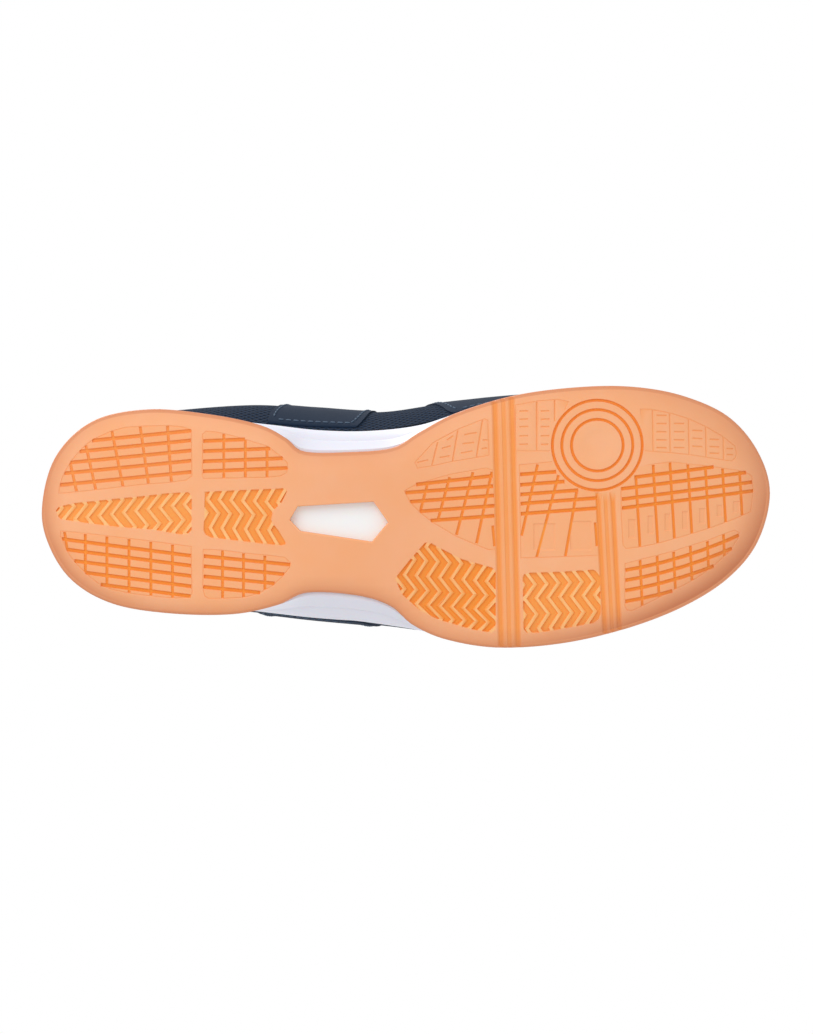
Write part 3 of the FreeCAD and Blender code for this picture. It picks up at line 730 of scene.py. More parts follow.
@dataclass
class Herringbone:
    """Sunk tread panel crossed by narrow zigzag ribs that stand nearly as high as the tread."""

    outline: list[Point2]
    nodes: list[Point2]
    drift: float
    pitch: float = 4.72
    depth: float = 1.0
    rib: float = 1.15
    rib_ramp: float = 0.4
    wall_ramp: float = 0.5
    rib_drop: float = 0.08
    # share of the recess's painted shade that the panel's floor takes
    tone: float = 1.0

    def edge(self) -> np.ndarray:
        """Outline of the panel."""
        return np.array(self.outline, float)

    def zigzag(self) -> np.ndarray:
        """One rib's middle line, carried on past both ends of its given corners.

        Returns:
            Corners of the line.
        """
        nodes = [np.array(n, float) for n in self.nodes]
        step = nodes[1] - nodes[0]
        back = nodes[2] - nodes[1] if len(nodes) > 2 else np.array([-step[0], step[1]])
        for k in range(6):
            nodes.insert(0, nodes[0] - (back if k % 2 == 0 else step))
            last = nodes[-1] - nodes[-2]
            nodes.append(nodes[-1] + np.array([-last[0], last[1]]))
        return np.array(nodes)

    def ribs(self) -> Rows:
        """Middle lines of all ribs that reach the panel, not yet cut off.

        Returns:
            One line for each rib.
        """
        edge, first = self.edge(), self.zigzag()
        low, high = edge.min(0) - 6, edge.max(0) + 6
        made = []
        for k in range(-14, 22):
            moved = first + np.array([k * self.pitch, self.drift * k * self.pitch])
            if moved[:, 0].max() > low[0] and moved[:, 0].min() < high[0]:
                made.append(moved)
        return made

    def lines(self) -> Rows:
        """Edges of the rib tops and rib feet inside the panel, and its wall's two edges.

        Returns:
            Lines to draw in plan.
        """
        edge = self.edge()
        loop = np.vstack([edge, edge[:1]])
        inner = edge - loop_normals(edge) * self.wall_ramp * self.turn()
        made: Rows = [loop, np.vstack([inner, inner[:1]])]
        for rib in self.ribs():
            for half in (self.rib / 2, self.rib / 2 + self.rib_ramp):
                for side in (-half, half):
                    made += clipped(offset_path(rib, side), edge)
        return made

    def turn(self) -> float:
        """+1 where the outline goes round so that its loop normals point out, else -1."""
        x, y = self.edge().T
        return 1.0 if np.sum(x * np.roll(y, -1) - np.roll(x, -1) * y) > 0 else -1.0

    def depth_at(self, points: np.ndarray) -> np.ndarray:
        """Depth of the panel at plan points that lie inside it.

        Args:
            points: Plan points inside the panel.

        Returns:
            One depth for each point.
        """
        edge = self.edge()
        wall = np.clip(distance_to_path(points, edge, closed=True) / self.wall_ramp, 0, 1)
        rib = np.full(len(points), 1e9)
        for line in self.ribs():
            rib = np.minimum(rib, distance_to_path(points, line, closed=False))
        foot = np.clip((rib - self.rib / 2) / self.rib_ramp, 0, 1)
        return np.minimum(wall * self.depth, self.rib_drop * wall + foot * (self.depth - self.rib_drop))


@dataclass
class Drawing:
    """Plan drawing of the tread: points, and the edges between them that the mesh has to keep."""

    blocks: Rows = field(default_factory=list)
    edges: list[tuple[int, int]] = field(default_factory=list)
    total: int = 0

    def draw(self, path: np.ndarray, closed: bool = False) -> None:
        """Add a path's points and the edges between them.

        Args:
            path: Points of the path.
            closed: True joins its last point to its first.
        """
        self.blocks.append(path)
        self.edges.extend((self.total + i, self.total + i + 1) for i in range(len(path) - 1))
        if closed:
            self.edges.append((self.total + len(path) - 1, self.total))
        self.total += len(path)

    def draw_points(self, points: np.ndarray) -> None:
        """Add loose points."""
        self.blocks.append(points)
        self.total += len(points)

    def triangulated(self) -> tuple[np.ndarray, np.ndarray]:
        """Drawing cut into triangles along its edges.

        Returns:
            Plan points and triangles.
        """
        flat = [Vector(p) for p in np.vstack(self.blocks).tolist()]
        found, _, triangles, *_ = delaunay_2d_cdt(flat, self.edges, [], 0, 1e-4)
        return np.array([tuple(p) for p in found]), np.array(triangles)


@dataclass
class Outsole:
    """Gum rubber outsole as one moulding over the flex line."""

    edge_round: float = 1.5
    crown: float = 1.3
    crown_width: float = 8.0
    thickness: float = 4.0
    bumper_height: float = 13.0
    bumper_start: float = 90.0
    lattice: float = 3.6
    # depth at which a recess takes the full colour of its painted shade
    full_colour_depth: float = 0.62
    rings: tuple[float, ...] = (18.1, 14.3, 10.4)
    ring_width: float = 1.3
    ring_depth: float = 0.8
    dish_radius: float = 6.6
    dish_depth: float = 0.35
    border_depth: float = 0.2
    outline_points: int = 300
    # the window's edge has few points, and the rim's has hundreds
    window_points_most: int = 60
    # share of the recess's painted shade in the cross channels
    channel_tone: float = 0.78
    # painted light: lug tops inside block panels take this share of the recess orange, as if lit through the rubber
    # beside the slits
    lug_glow_share: float = 0.13
    channel_shares: tuple[float, float] = (1.0, 0.86)
    channel_starts: tuple[float, float] = (-99.0, -9.6)
    channel_profile: tuple[Point2, ...] = (
        (0, 0.55), (0.6, 0.5), (1.0, 0.22), (2.0, 0.25), (3.0, 0.8), (3.9, 0.75), (4.9, 0))

    def panels(self) -> list[Grid]:
        """Block lug panels from the heel to the toe.

        Returns:
            The panels.
        """
        heel_mr = Grid(
            [(-139.95, -9.55), (-139.75, -12.45), (-138, -17.3), (-135.1, -22.3), (-132.2, -25.8), (-128.75, -29.25),
             (-125.7, -31.35), (-118.7, -34.6), (-113.3, -36), (-107.15, -36.5), (-95.9, -36.8), (-90.15, -36.2),
             (-86.5, -35), (-86.3, -16.5), (-88.6, -14.8), (-95.9, -13.8), (-107.15, -13), (-124.9, -10.9),
             (-137.3, -9.6)],
            [(-108, y, -0.1) for y in (-32.6, -28.7, -24.6, -20.5, -16)],
            [cross(-134.1, -16.1, .228), cross(-127.4, -21.5, .226), cross(-116.3, -23.4, .2),
             cross(-105.5, -25, .143), cross(-95.4, -25.6, .07)], tone=0.8)
        heel_mf = Grid(
            [(-82, -33.3), (-80.7, -34.5), (-76.8, -34.2), (-73.3, -33.5), (-66.8, -31.8), (-56, -28.5),
             (-50.2, -24.2), (-47.9, -21.7), (-47.7, -19.4), (-48.4, -17.7), (-50.6, -16.5), (-56, -15.9),
             (-73.5, -15.6), (-81.6, -15.3), (-82.2, -16.5)],
            [(-66, y, -0.04) for y in (-31.2, -27.1, -23, -19)],
            [cross(-73.5, -25, 0), cross(-64.85, -25, 0), cross(-56.1, -25, 0)], tone=0.9)
        heel_lr = Grid(
            [(-139.2, 5.7), (-136.9, 5.9), (-124.9, 7.1), (-105.6, 9.4), (-86.7, 11.9), (-86.3, 30.4), (-87, 32.5),
             (-94, 32.7), (-103.3, 31.8), (-111.4, 30.8), (-119.1, 29.1), (-124.1, 26.8), (-128.7, 23.1),
             (-132.6, 19.2), (-135.7, 15.4), (-138, 10.7), (-139.4, 7.6)],
            [(-105.6, y, 0.13) for y in (13.2, 17.2, 21.35, 25.5, 29.5)],
            [cross(-137.25, 9, .15)] + [cross(x, 20, 0) for x in (-129.3, -120.6, -111.7, -102.9, -94.2)])
        heel_lf = Grid(
            [(-81.8, 13), (-74.1, 13.4), (-65.2, 14.6), (-56.3, 15.4), (-49, 16.3), (-46.7, 18.5), (-46.8, 20),
             (-49.8, 23.9), (-54, 27.7), (-59.4, 30.8), (-65.2, 32.4), (-74.1, 32.8), (-79.9, 32.8), (-81.2, 31.8),
             (-82, 28.5)],
            [(-74, y, 0.1) for y in (16.5, 20.6, 24.7, 28.95)],
            [cross(x, 20, 0) for x in (-74.05, -65.6, -57)])
        arch_ladder = Grid(
            [(3.4, -21.9), (10.6, -29.8), (21.4, -35.6), (31.5, -39.5), (32.8, -39), (33.3, -24.8), (27.9, -23.9),
             (17.8, -22.2), (10.6, -20.6), (4.5, -19.6)],
            [], [(12.6, -30.2, 10.2, -20.6), (20.7, -35, 18.5, -22.2), (30.6, -39.2, 28.2, -24.05)],
            cross_width=0.8, cross_depth=0.3,
            dashes=[(14.2, -27.6, 17.8, -28.6), (13.3, -23.9, 17.4, -24.6), (16.2, -30.9, 18.9, -32.7),
                    (23.2, -33.1, 28.3, -34), (22.5, -29.5, 27.2, -30), (21.8, -25.7, 26.6, -26.6),
                    (4.3, -21.9, 8.8, -23), (30.6, -30.9, 32.6, -31.1), (30.2, -27.5, 32.6, -27.8)])
        ball_rear = Grid(
            [(-.9, -10.5), (4.1, -13.2), (17.8, -17.2), (32.2, -19.7), (34.7, -18.8), (35.5, -7.8), (35.9, 13),
             (33.2, 13.2), (27.8, 11.1), (20.1, 7.8), (10.4, 2.1), (5.8, -1.6), (1.5, -5.85)],
            [(20, -14.9, -.114), (20, -11.3, -.075), (20, -7.5, -.075), (20, -3.35, -.075), (20, .7, -.075)],
            [(8.6, -13.8, 5.7, -2.8), (17.4, -16.1, 12.7, 1.1), (26.8, -18.1, 20.1, 7.3), (34.4, -18.3, 28.2, 10.7),
             (34.7, 3.4, 35.5, 11.9)])
        ball_ladder = Grid(
            [(43.8, -45), (52.8, -46.65), (60.9, -47.3), (65.2, -46.5), (59.5, -35), (58, -26.6), (43.8, -26.6)],
            [], [(52.4, -46.6, 52.4, -26.6), (59.6, -47.2, 59.6, -37)], cross_width=0.8, cross_depth=0.3,
            dashes=ladder((45.4, 54.0), (-42.6, -39.3, -36.3, -32.6, -29.2), 3.6, -.04))
        ball_middle = Grid(
            [(45.4, -21), (58.8, -22.2), (61.5, -17.2), (65.2, -14.4), (68.2, -11.8), (76.6, -10.5), (77.5, 15.5),
             (46.1, 16.5)],
            [(60, y, -.075) for y in (-18.2, -14, -10.1, -6.4, -2.3)],
            [(52.8, -21.2, 46.3, 7.7), (61.2, -16.9, 52.3, 16.7), (68.5, -10.2, 63.8, 16.7), (76, 2.1, 76.7, 11.8)],
            dishes=[(51, 60, 2.5, 13.5), (65.8, 74.6, 1.5, 13.5)])
        toe_ladder = Grid(
            [(94.2, -43.5), (98.3, -43.3), (106.5, -41.7), (113.9, -39.4), (120.9, -36.1), (127.9, -32),
             (132.5, -28.3), (133.1, -26), (132.9, -23.8), (131.2, -22.3), (127.1, -22.9), (113.9, -25),
             (106.5, -25.8), (95.8, -26.6)],
            [], [cross(x, -33, .02) for x in (99.2, 106.1, 113.7, 120.6, 127.7)], cross_width=0.8, cross_depth=0.25,
            dashes=ladder((100.6,), (-40.9, -37.6, -34.3, -31, -27.9), 4.2, .02)
            + ladder((107.6,), (-37.6, -34.3, -31, -27.9), 4.4, .02)
            + ladder((115.1,), (-34.8, -31.6, -28.4), 4.2, .05) + ladder((122.1,), (-31.2, -28.2, -25.6), 4.0, .05)
            + ladder((129.0,), (-27.4, -25), 2.8, .05))
        toe_middle = Grid(
            [(93.1, -20.3), (99.9, -21.3), (106.5, -22.1), (120.5, -20.5), (127.9, -19.4), (136.6, -18),
             (139.5, -16.1), (140.1, -10.4), (139, -1.8), (135.8, -.3), (129.1, 2.3), (122.2, 4.7), (115.2, 6.8),
             (108.2, 8.8), (101.2, 10.7), (94.2, 12.1), (88.4, 12.75), (87.2, 11.4), (86.5, -.1), (86.3, -12),
             (88.4, -15.1), (91.3, -18)],
            [(100, y, -.125) for y in (-17, -13, -8.8, -5.2)],
            [cross(x, -5, .06) for x in (93, 100.25, 107.1, 114.3, 121.35, 128.3, 135.2)],
            dishes=[(89.2, 92.4, .8, 8.6), (97.0, 99.6, -.6, 7.0), (103.9, 106.4, -1.4, 5.8),
                    (110.9, 113.5, -2.3, 5.2), (117.9, 120.6, -3.5, 3.0), (125.0, 127.6, -4.8, .1),
                    (131.6, 134.5, -6.2, -1.4)])
        toe_lateral = Grid(
            [(88, 18.8), (94.2, 17.2), (101.2, 15.5), (108.2, 13.7), (114.7, 11.6), (122.2, 9.4), (128.7, 6.8),
             (132.5, 5.65), (134.4, 6.7), (134.1, 8.5), (130.8, 13.9), (123.4, 20.5), (116, 25.4), (109.4, 28.7),
             (102, 32.4), (95.4, 35.7), (90.8, 37.8), (89, 37.6), (88, 36.1)],
            [(88, y, -.165) for y in (21.5, 25.6, 29.7, 34.1)],
            [cross(x, 22, .05) for x in (94.3, 101.25, 108, 114.9, 121.9, 128.6)], bend=-.0029)
        return [heel_mr, heel_mf, heel_lr, heel_lf, arch_ladder, ball_rear, ball_ladder, ball_middle, toe_ladder,
                toe_middle, toe_lateral]

    def herringbones(self) -> list[Herringbone]:
        """Zigzag panels.

        Returns:
            The panels, from the heel to the ball.
        """
        heel_rear = Herringbone(
            [(-141.3, -2.6), (-139.95, -4.3), (-133.4, -5.7), (-119.5, -7.2), (-105.6, -8.6), (-95.9, -9.7),
             (-87.8, -10.1), (-86.3, -8.6), (-86.3, 5.3), (-88.2, 7.1), (-91.3, 7.1), (-101.7, 5.3), (-115.6, 4.2),
             (-125.7, 3), (-132.2, 2.1), (-139.2, 1.1), (-140.9, -.65)],
            [(-94.4, -4.4), (-89.6, 1.25)], drift=-.133, pitch=4.9, depth=0.9, tone=0.78)
        heel_front = Herringbone(
            [(-81.2, -10.3), (-48.6, -11.7), (-47.9, -9.9), (-50.2, -5.7), (-53.6, -2.4), (-54.4, 1.1), (-53.3, 3),
             (-48.6, 9.2), (-48.6, 11.1), (-50.2, 11.5), (-57.5, 10.9), (-78.7, 8.4), (-81.1, 7.1), (-81.8, 5.3)],
            [(-66, -6.5), (-61.4, -.9), (-64.9, 4.9)], drift=.04, tone=0.86)
        ball_rear = Herringbone(
            [(-4.7, 24.65), (1.5, 16.9), (7.3, 10.3), (9.6, 10.2), (14.65, 13), (22.4, 16.9), (34.3, 20.2),
             (36.1, 21.75), (36.1, 45.5), (34.3, 46.85), (25.8, 45.3), (13.1, 41.6), (5.8, 38.1), (-2, 31.2)],
            [(8.1, 17.7), (3.8, 23.7), (8.8, 29.7), (3.8, 35.2), (9.5, 40.5)], drift=.08)
        ball_front = Herringbone(
            [(46.7, 24.1), (47.5, 22.8), (49.1, 22.4), (62.6, 21.9), (75.2, 21.1), (77.5, 22.2), (78.2, 24.1),
             (78.4, 38.7), (77.5, 41.3), (75.2, 42.9), (61.8, 45.4), (53.6, 46.7), (48.4, 46.9), (47.1, 45.4),
             (46.9, 40.5)],
            [(56.6, 26.9), (52.2, 32.7), (57.2, 39), (53.2, 44.8)], drift=-.05, tone=0.82)
        return [heel_rear, heel_front, ball_rear, ball_front]

    def channel_middles(self) -> Rows:
        """Middle lines of the two cross channels.

        Returns:
            The rear and the front line.
        """
        rear = np.column_stack([np.linspace(38.7, 41.7, 26), np.linspace(-56, 58, 26)])
        front = np.column_stack([np.linspace(79.9, 83.2, 16), np.linspace(-10.2, 52, 16)])
        return [rear, front]

    def channel_depth(self, points: np.ndarray) -> np.ndarray:
        """Depth of the cross channels: two bands with a low ridge between, round a shallow middle.

        Args:
            points: Plan points, one row each.

        Returns:
            One depth for each point.
        """
        knots, depths = np.array(self.channel_profile).T
        total = np.zeros(len(points))
        for middle, share, start in zip(self.channel_middles(), self.channel_shares, self.channel_starts):
            (ax, ay), (bx, by) = middle[0], middle[-1]
            across = np.abs(points[:, 0] - (ax + (points[:, 1] - ay) * (bx - ax) / (by - ay)))
            depth = np.interp(across / share, knots, depths)
            total = np.maximum(total, depth * np.clip((points[:, 1] - start) / 0.5, 0, 1))
        return total

    def ring_depth_at(self, points: np.ndarray) -> np.ndarray:
        """Depth of the turning disc's ring grooves.

        Args:
            points: Plan points, one row each.

        Returns:
            One depth for each point.
        """
        r = np.linalg.norm(points - np.array(DISC_CENTRE), axis=1)
        total = np.zeros(len(points))
        for ring in self.rings:
            total = np.maximum(total, self.ring_depth * np.clip((self.ring_width / 2 - np.abs(r - ring)) / 0.3, 0, 1))
        return total

    def build(self) -> bpy.types.Object:
        """Whole outsole mesh with its tread attribute.

        Returns:
            The outsole, one piece over the flex line.
        """
        outline = even_loop(OUTSOLE_OUTLINE, self.outline_points)
        disc = circle(DISC_CENTRE, self.rings[0] + self.ring_width / 2 + 0.9, 60)
        panels = [(panel, panel.sipes(disc)) for panel in self.panels()]
        bones = self.herringbones()
        plan, triangles = self.plan_mesh(outline, disc, panels, bones)
        depth, dish, shade, bone_share = self.relief(plan, disc, panels, bones)
        rim_distance = distance_to_path(plan, outline, closed=True)
        lift = self.crown * np.clip(1 - (rim_distance - self.edge_round) / self.crown_width, 0, 1) ** 2
        z = ground_at(plan[:, 0]) + np.maximum(depth, dish) + lift

        points = [np.column_stack([plan, z])]
        faces = [tuple(t) for t in self.facing_down(plan, triangles)]
        # the tread attribute: painted shade of the recesses, herringbone share, painted shade round the rim
        tread = [np.column_stack([shade, bone_share, self.rim_shade(plan, rim_distance)])]
        for loop in boundary_loops(triangles):
            self.add_edge(loop, plan, z, depth, window_loop=len(loop) < self.window_points_most,
                          points=points, faces=faces, tread=tread)
        obj = make_mesh("outsole", np.vstack(points), faces, sharp=13)
        colour = obj.data.color_attributes.new("tread", "FLOAT_COLOR", "POINT")
        values = np.column_stack([np.clip(np.vstack(tread), 0, 1), np.ones(len(obj.data.vertices))])
        colour.data.foreach_set("color", values.astype(np.float32).ravel())
        return obj

    def plan_mesh(self, outline: np.ndarray, disc: np.ndarray, panels: list[tuple[Grid, list[Sipe]]],
                  bones: list[Herringbone]) -> tuple[np.ndarray, np.ndarray]:
        """Tread drawing between the rim and the window, cut into triangles.

        Args:
            outline: Outline of the sole.
            disc: Outline of the turning disc.
            panels: Block lug panels, each with its slits.
            bones: Herringbone panels.

        Returns:
            Plan points and triangles.
        """
        drawing = Drawing()
        rim = outline - loop_normals(outline) * self.edge_round
        drawing.draw(rim, closed=True)
        drawing.draw(outline - loop_normals(outline) * (self.edge_round + 0.6), closed=True)
        window = np.array(WINDOW, float)
        x, y = window.T
        turn = -1.0 if np.sum(x * np.roll(y, -1) - np.roll(x, -1) * y) < 0 else 1.0
        hole = window + loop_normals(window) * 0.7 * turn
        drawing.draw(hole, closed=True)
        drawing.draw(window + loop_normals(window) * 1.3 * turn, closed=True)
        for radius in self.rings:
            for shift in (-0.5, -0.5 + 0.26, 0.5 - 0.26, 0.5):
                drawing.draw(circle(DISC_CENTRE, radius + shift * self.ring_width), closed=True)
        for radius in (self.dish_radius - 2, self.dish_radius - 0.8, self.dish_radius + 0.4):
            drawing.draw(circle(DISC_CENTRE, radius, 48), closed=True)
        for middle, share in zip(self.channel_middles(), self.channel_shares):
            for knot, _ in self.channel_profile[1:]:
                for side in (-1, 1):
                    drawing.draw(middle + np.array([side * knot * share, 0]))
        for panel, slits in panels:
            edge = panel.edge()
            for shift in (-panel.border, 0.0, panel.border):
                moved = edge + loop_normals(edge) * shift
                for piece in clipped(np.vstack([moved, moved[:1]]), disc, keep_inside=False):
                    drawing.draw(piece)
            for slit in slits:
                for line in slit.lines():
                    drawing.draw(line)
            for x0, x1, y0, y1 in panel.dishes:
                for pull in (0.0, 0.5):
                    drawing.draw(np.array([(x0 + pull, y0 + pull), (x1 - pull, y0 + pull), (x1 - pull, y1 - pull),
                                           (x0 + pull, y1 - pull)]), closed=True)
        for bone in bones:
            for line in bone.lines():
                drawing.draw(line)
        xs, ys = np.meshgrid(np.arange(-145, 146, self.lattice), np.arange(-52, 53, self.lattice))
        lattice = np.column_stack([xs.ravel() + 0.31, ys.ravel() + 0.17])
        drawing.draw_points(lattice[inside(lattice, outline - loop_normals(outline) * 2.6)])
        log.info("tread drawing: %d points, %d edges", drawing.total, len(drawing.edges))
        plan, triangles = drawing.triangulated()
        centre = plan[triangles].mean(axis=1)
        triangles = triangles[inside(centre, rim) & ~inside(centre, hole)]
        used, triangles = np.unique(triangles, return_inverse=True)
        return plan[used], triangles.reshape(-1, 3)

    def relief(self, plan: np.ndarray, disc: np.ndarray, panels: list[tuple[Grid, list[Sipe]]],
               bones: list[Herringbone]) -> tuple[np.ndarray, np.ndarray, np.ndarray, np.ndarray]:
        """Depths and colour shares at the plan points.

        Args:
            plan: Plan points of the tread.
            disc: Outline of the turning disc.
            panels: Block lug panels, each with its slits.
            bones: Herringbone panels.

        Returns:
            Depth, depth of the dishes (which keep the top's colour), share of the recess colour that paints
            shade into the recesses, and share of the herringbone colours.
        """
        channels, grooves = self.channel_depth(plan), self.ring_depth_at(plan)
        depth = np.maximum(channels, grooves)
        from_disc = np.linalg.norm(plan - np.array(DISC_CENTRE), axis=1)
        dish = self.dish_depth * (1 - ease((from_disc - self.dish_radius + 2) / 2.4))
        bone_share = np.zeros(len(plan))
        tone = np.where(channels > grooves, self.channel_tone, 1.0)
        painted_lug_glow = np.zeros(len(plan))
        off_disc = ~inside(plan, disc)
        for panel, slits in panels:
            edge = panel.edge()
            near = np.all((plan > edge.min(0) - 1) & (plan < edge.max(0) + 1), axis=1)
            p = plan[near]
            from_edge = distance_to_path(p, edge, closed=True) / panel.border
            best = self.border_depth * np.clip(1 - from_edge, 0, 1) * off_disc[near]
            for slit in slits:
                best = np.maximum(best, slit.depth_at(p))
            for x0, x1, y0, y1 in panel.dishes:
                reach = np.minimum(np.minimum(p[:, 0] - x0, x1 - p[:, 0]), np.minimum(p[:, 1] - y0, y1 - p[:, 1]))
                dish[near] = np.maximum(dish[near], self.dish_depth * np.clip(reach / 0.5, 0, 1))
            depth[near] = np.maximum(depth[near], best)
            within = inside(p, edge)
            tone[near] = np.where(within, panel.tone, tone[near])
            if panel.rows:
                # painted light: lug tops away from the panel's edge take a little of the recess orange
                painted_lug_glow[near] = np.maximum(painted_lug_glow[near], self.lug_glow_share * np.clip(from_edge, 0, 1) * within)
        for bone in bones:
            edge = bone.edge()
            within = inside(plan, edge)
            depth[within] = np.maximum(depth[within], bone.depth_at(plan[within]))
            bone_share[within] = np.clip(distance_to_path(plan[within], edge, closed=True) / 0.3, 0, 1)
            tone[within] = bone.tone
        # painted shade: the recess colour's share grows with depth, scaled by each panel's tone
        shade = np.maximum(np.minimum(depth / self.full_colour_depth, 1) * tone, painted_lug_glow)
        return depth, dish, shade, bone_share

    @staticmethod
    def rim_shade(plan: np.ndarray, distance: np.ndarray) -> np.ndarray:
        """Share of the rim colour, painted shade where the sole's edge curves away, strongest at the toe and at the
        outer side; the waist takes a little of it as well.

        Args:
            plan: Plan points of the tread.
            distance: Distance of each point from the sole's outline.

        Returns:
            One share for each point.
        """
        reach = np.interp(plan[:, 0], [-147, -100, 20, 110, 147], [11, 7, 7, 14, 17])
        weight = np.interp(plan[:, 0], [-147, -100, 20, 80, 110, 147], [0.85, 0.45, 0.35, 0.65, 0.9, 1.0])
        outer = np.interp(plan[:, 1], [-45, -15, 20, 45], [0.45, 0.75, 1.35, 1.6])
        # the waist takes a little of the rim colour too, darker there
        waist = 0.14 * np.exp(-((plan[:, 0] + 14) / 40) ** 2)
        return waist + weight * outer * np.clip(1 - distance / reach, 0, 1) ** 1.8

    @staticmethod
    def facing_down(plan: np.ndarray, triangles: np.ndarray) -> np.ndarray:
        """Triangles turned so that they face the ground.

        Args:
            plan: Plan points of the tread.
            triangles: Vertex numbers of each triangle.

        Returns:
            The triangles, some with their order reversed.
        """
        a, b, c = (plan[triangles[:, k]] for k in range(3))
        area = (b[:, 0] - a[:, 0]) * (c[:, 1] - a[:, 1]) - (b[:, 1] - a[:, 1]) * (c[:, 0] - a[:, 0])
        turned = triangles.copy()
        turned[area > 0] = turned[area > 0][:, ::-1]
        return turned

    def add_edge(self, loop: list[int], plan: np.ndarray, z: np.ndarray, depth: np.ndarray, window_loop: bool,
                 points: list[np.ndarray], faces: list[tuple[int, ...]], tread: list[np.ndarray]) -> None:
        """Rounded edge, side wall and inner lip along one boundary of the tread.

        Args:
            loop: Vertex numbers along the boundary.
            plan: Plan position of every tread vertex.
            z: Height of every tread vertex.
            depth: Depth of every tread vertex.
            window_loop: True for the window in the waist.
            points: Vertex blocks, added to.
            faces: Faces, added to.
            tread: Attribute blocks, added to.
        """
        base = plan[loop]
        x, y = base.T
        turn = 1.0 if np.sum(x * np.roll(y, -1) - np.roll(x, -1) * y) > 0 else -1.0
        out = loop_normals(base) * turn * (-1 if window_loop else 1)
        radius = 0.7 if window_loop else self.edge_round
        ground, low = ground_at(x), z[loop]
        bump = 0 if window_loop else self.bumper_height * ease((x - self.bumper_start) / 24)
        top = ground + self.thickness + bump
        rows = []
        for a in np.radians((9, 19, 29, 39, 49, 59, 70, 80, 90)):
            rows.append((math.sin(a) * radius, low + radius * (1 - math.cos(a))))
        for share in (0.25, 0.5, 0.75, 0.94, 1.0):
            height = low + radius + (top - low - radius) * share
            lean = 0.0 if window_loop else 1.0
            rows.append((radius - lean * 1.3 * np.clip(height / 17, 0, 1) - (0.25 if share == 1.0 else 0), height))
        rows.append((radius - 1.4 if window_loop else radius - 3.2, top + 0.1))
        start = sum(len(p) for p in points)
        count = len(loop)
        previous = np.array(loop)
        for number, (shift, height) in enumerate(rows):
            moved = base + out * np.reshape(shift * np.ones(count), (-1, 1))
            points.append(np.column_stack([moved, height * np.ones(count)]))
            # painted shade: the side wall takes more of the rim colour the higher it climbs, and the edge's first
            # rows keep the recess share
            rim = np.full(count, 0.0 if window_loop else 0.55 + 0.4 * min(number / 9, 1.0))
            tread.append(np.column_stack([depth[loop] / self.full_colour_depth * (number < 9), np.zeros(count), rim]))
            current = np.arange(start + number * count, start + (number + 1) * count)
            for i in range(count):
                j = (i + 1) % count
                quad = (previous[i], current[i], current[j], previous[j])
                faces.append(quad if (turn > 0) != window_loop else quad[::-1])
            previous = current


def boundary_loops(triangles: np.ndarray) -> list[list[int]]:
    """Closed chains of the edges that belong to one triangle only.

    Args:
        triangles: Vertex numbers of each triangle.

    Returns:
        Vertex numbers along each boundary, the longest first.
    """
    pairs = np.vstack([triangles[:, [0, 1]], triangles[:, [1, 2]], triangles[:, [2, 0]]])
    _, index, count = np.unique(np.sort(pairs, axis=1), axis=0, return_index=True, return_counts=True)
    chain: dict[int, list[int]] = {}
    for a, b in pairs[index[count == 1]]:
        chain.setdefault(int(a), []).append(int(b))
        chain.setdefault(int(b), []).append(int(a))
    loops = []
    while chain:
        start = next(iter(chain))
        loop, previous, here = [start], None, start
        while True:
            onward = [n for n in chain[here] if n != previous]
            if not onward or onward[0] == start and len(loop) > 2:
                break
            previous, here = here, onward[0]
            if here in loop:
                break
            loop.append(here)
        for n in loop:
            chain.pop(n, None)
        loops.append(loop)
    return sorted(loops, key=len, reverse=True)


# ---------------------------------------------------------------- shells on a grid

def grid_object(name: str, grid: np.ndarray, uv: np.ndarray | None = None, wrap_rows: bool = False,
                wrap_columns: bool = False, cap_ends: bool = False, sharp: float = 40.0) -> bpy.types.Object:
    """Mesh from a grid of points, with an optional millimetre UV map.

    Args:
        name: Name of the piece.
        grid: Points, an array of rows by columns by 3, in millimetres.
        uv: Millimetre UV of each row and column; a wrapped direction has one more.
        wrap_rows: True joins the last row to the first.
        wrap_columns: True joins the last column to the first.
        cap_ends: True closes the first and last column, folding each on its own middle.
        sharp: Angle in degrees above which an edge stays sharp.

    Returns:
        The new object.
    """
    rows, columns = grid.shape[:2]
    quads, corners = [], []
    for r in range(rows if wrap_rows else rows - 1):
        for c in range(columns if wrap_columns else columns - 1):
            square = ((r, c), (r, c + 1), (r + 1, c + 1), (r + 1, c))
            quads.append([(a % rows) * columns + b % columns for a, b in square])
            corners.append(square)
    if cap_ends:
        for c, flip in ((0, False), (columns - 1, True)):
            for r in range(rows // 2 - 1):
                square = ((r, c), (r + 1, c), (rows - 2 - r, c), (rows - 1 - r, c))
                square = square[::-1] if flip else square
                quads.append([a * columns + b for a, b in square])
                corners.append(square)
    obj = make_mesh(name, grid.reshape(-1, 3), quads, sharp)
    if uv is not None and len(obj.data.polygons) == len(quads):
        layer = obj.data.uv_layers.new(name="weave_mm")
        high = np.array(uv.shape[:2]) - 1
        flat = [uv[min(a, high[0]), min(b, high[1])] for square in corners for a, b in square]
        layer.data.foreach_set("uv", np.array(flat, np.float32).ravel())
    return obj


def arc_uv(grid: np.ndarray, wrap_rows: bool = False, wrap_columns: bool = False) -> np.ndarray:
    """Millimetre UV of a grid: length along the middle row, and along each column.

    Args:
        grid: Points, an array of rows by columns by 3.
        wrap_rows: True where the last row joins the first.
        wrap_columns: True where the last column joins the first.

    Returns:
        UV of each row and column, with one more in a wrapped direction.
    """
    if wrap_rows:
        grid = np.concatenate([grid, grid[:1]], axis=0)
    if wrap_columns:
        grid = np.concatenate([grid, grid[:, :1]], axis=1)
    rows, columns = grid.shape[:2]
    u = np.concatenate([[0], np.cumsum(np.linalg.norm(np.diff(grid[rows // 4], axis=0), axis=1))])
    v = np.vstack([np.zeros(columns), np.cumsum(np.linalg.norm(np.diff(grid, axis=0), axis=2), axis=0)])
    return np.dstack([np.tile(u, (rows, 1)), v])


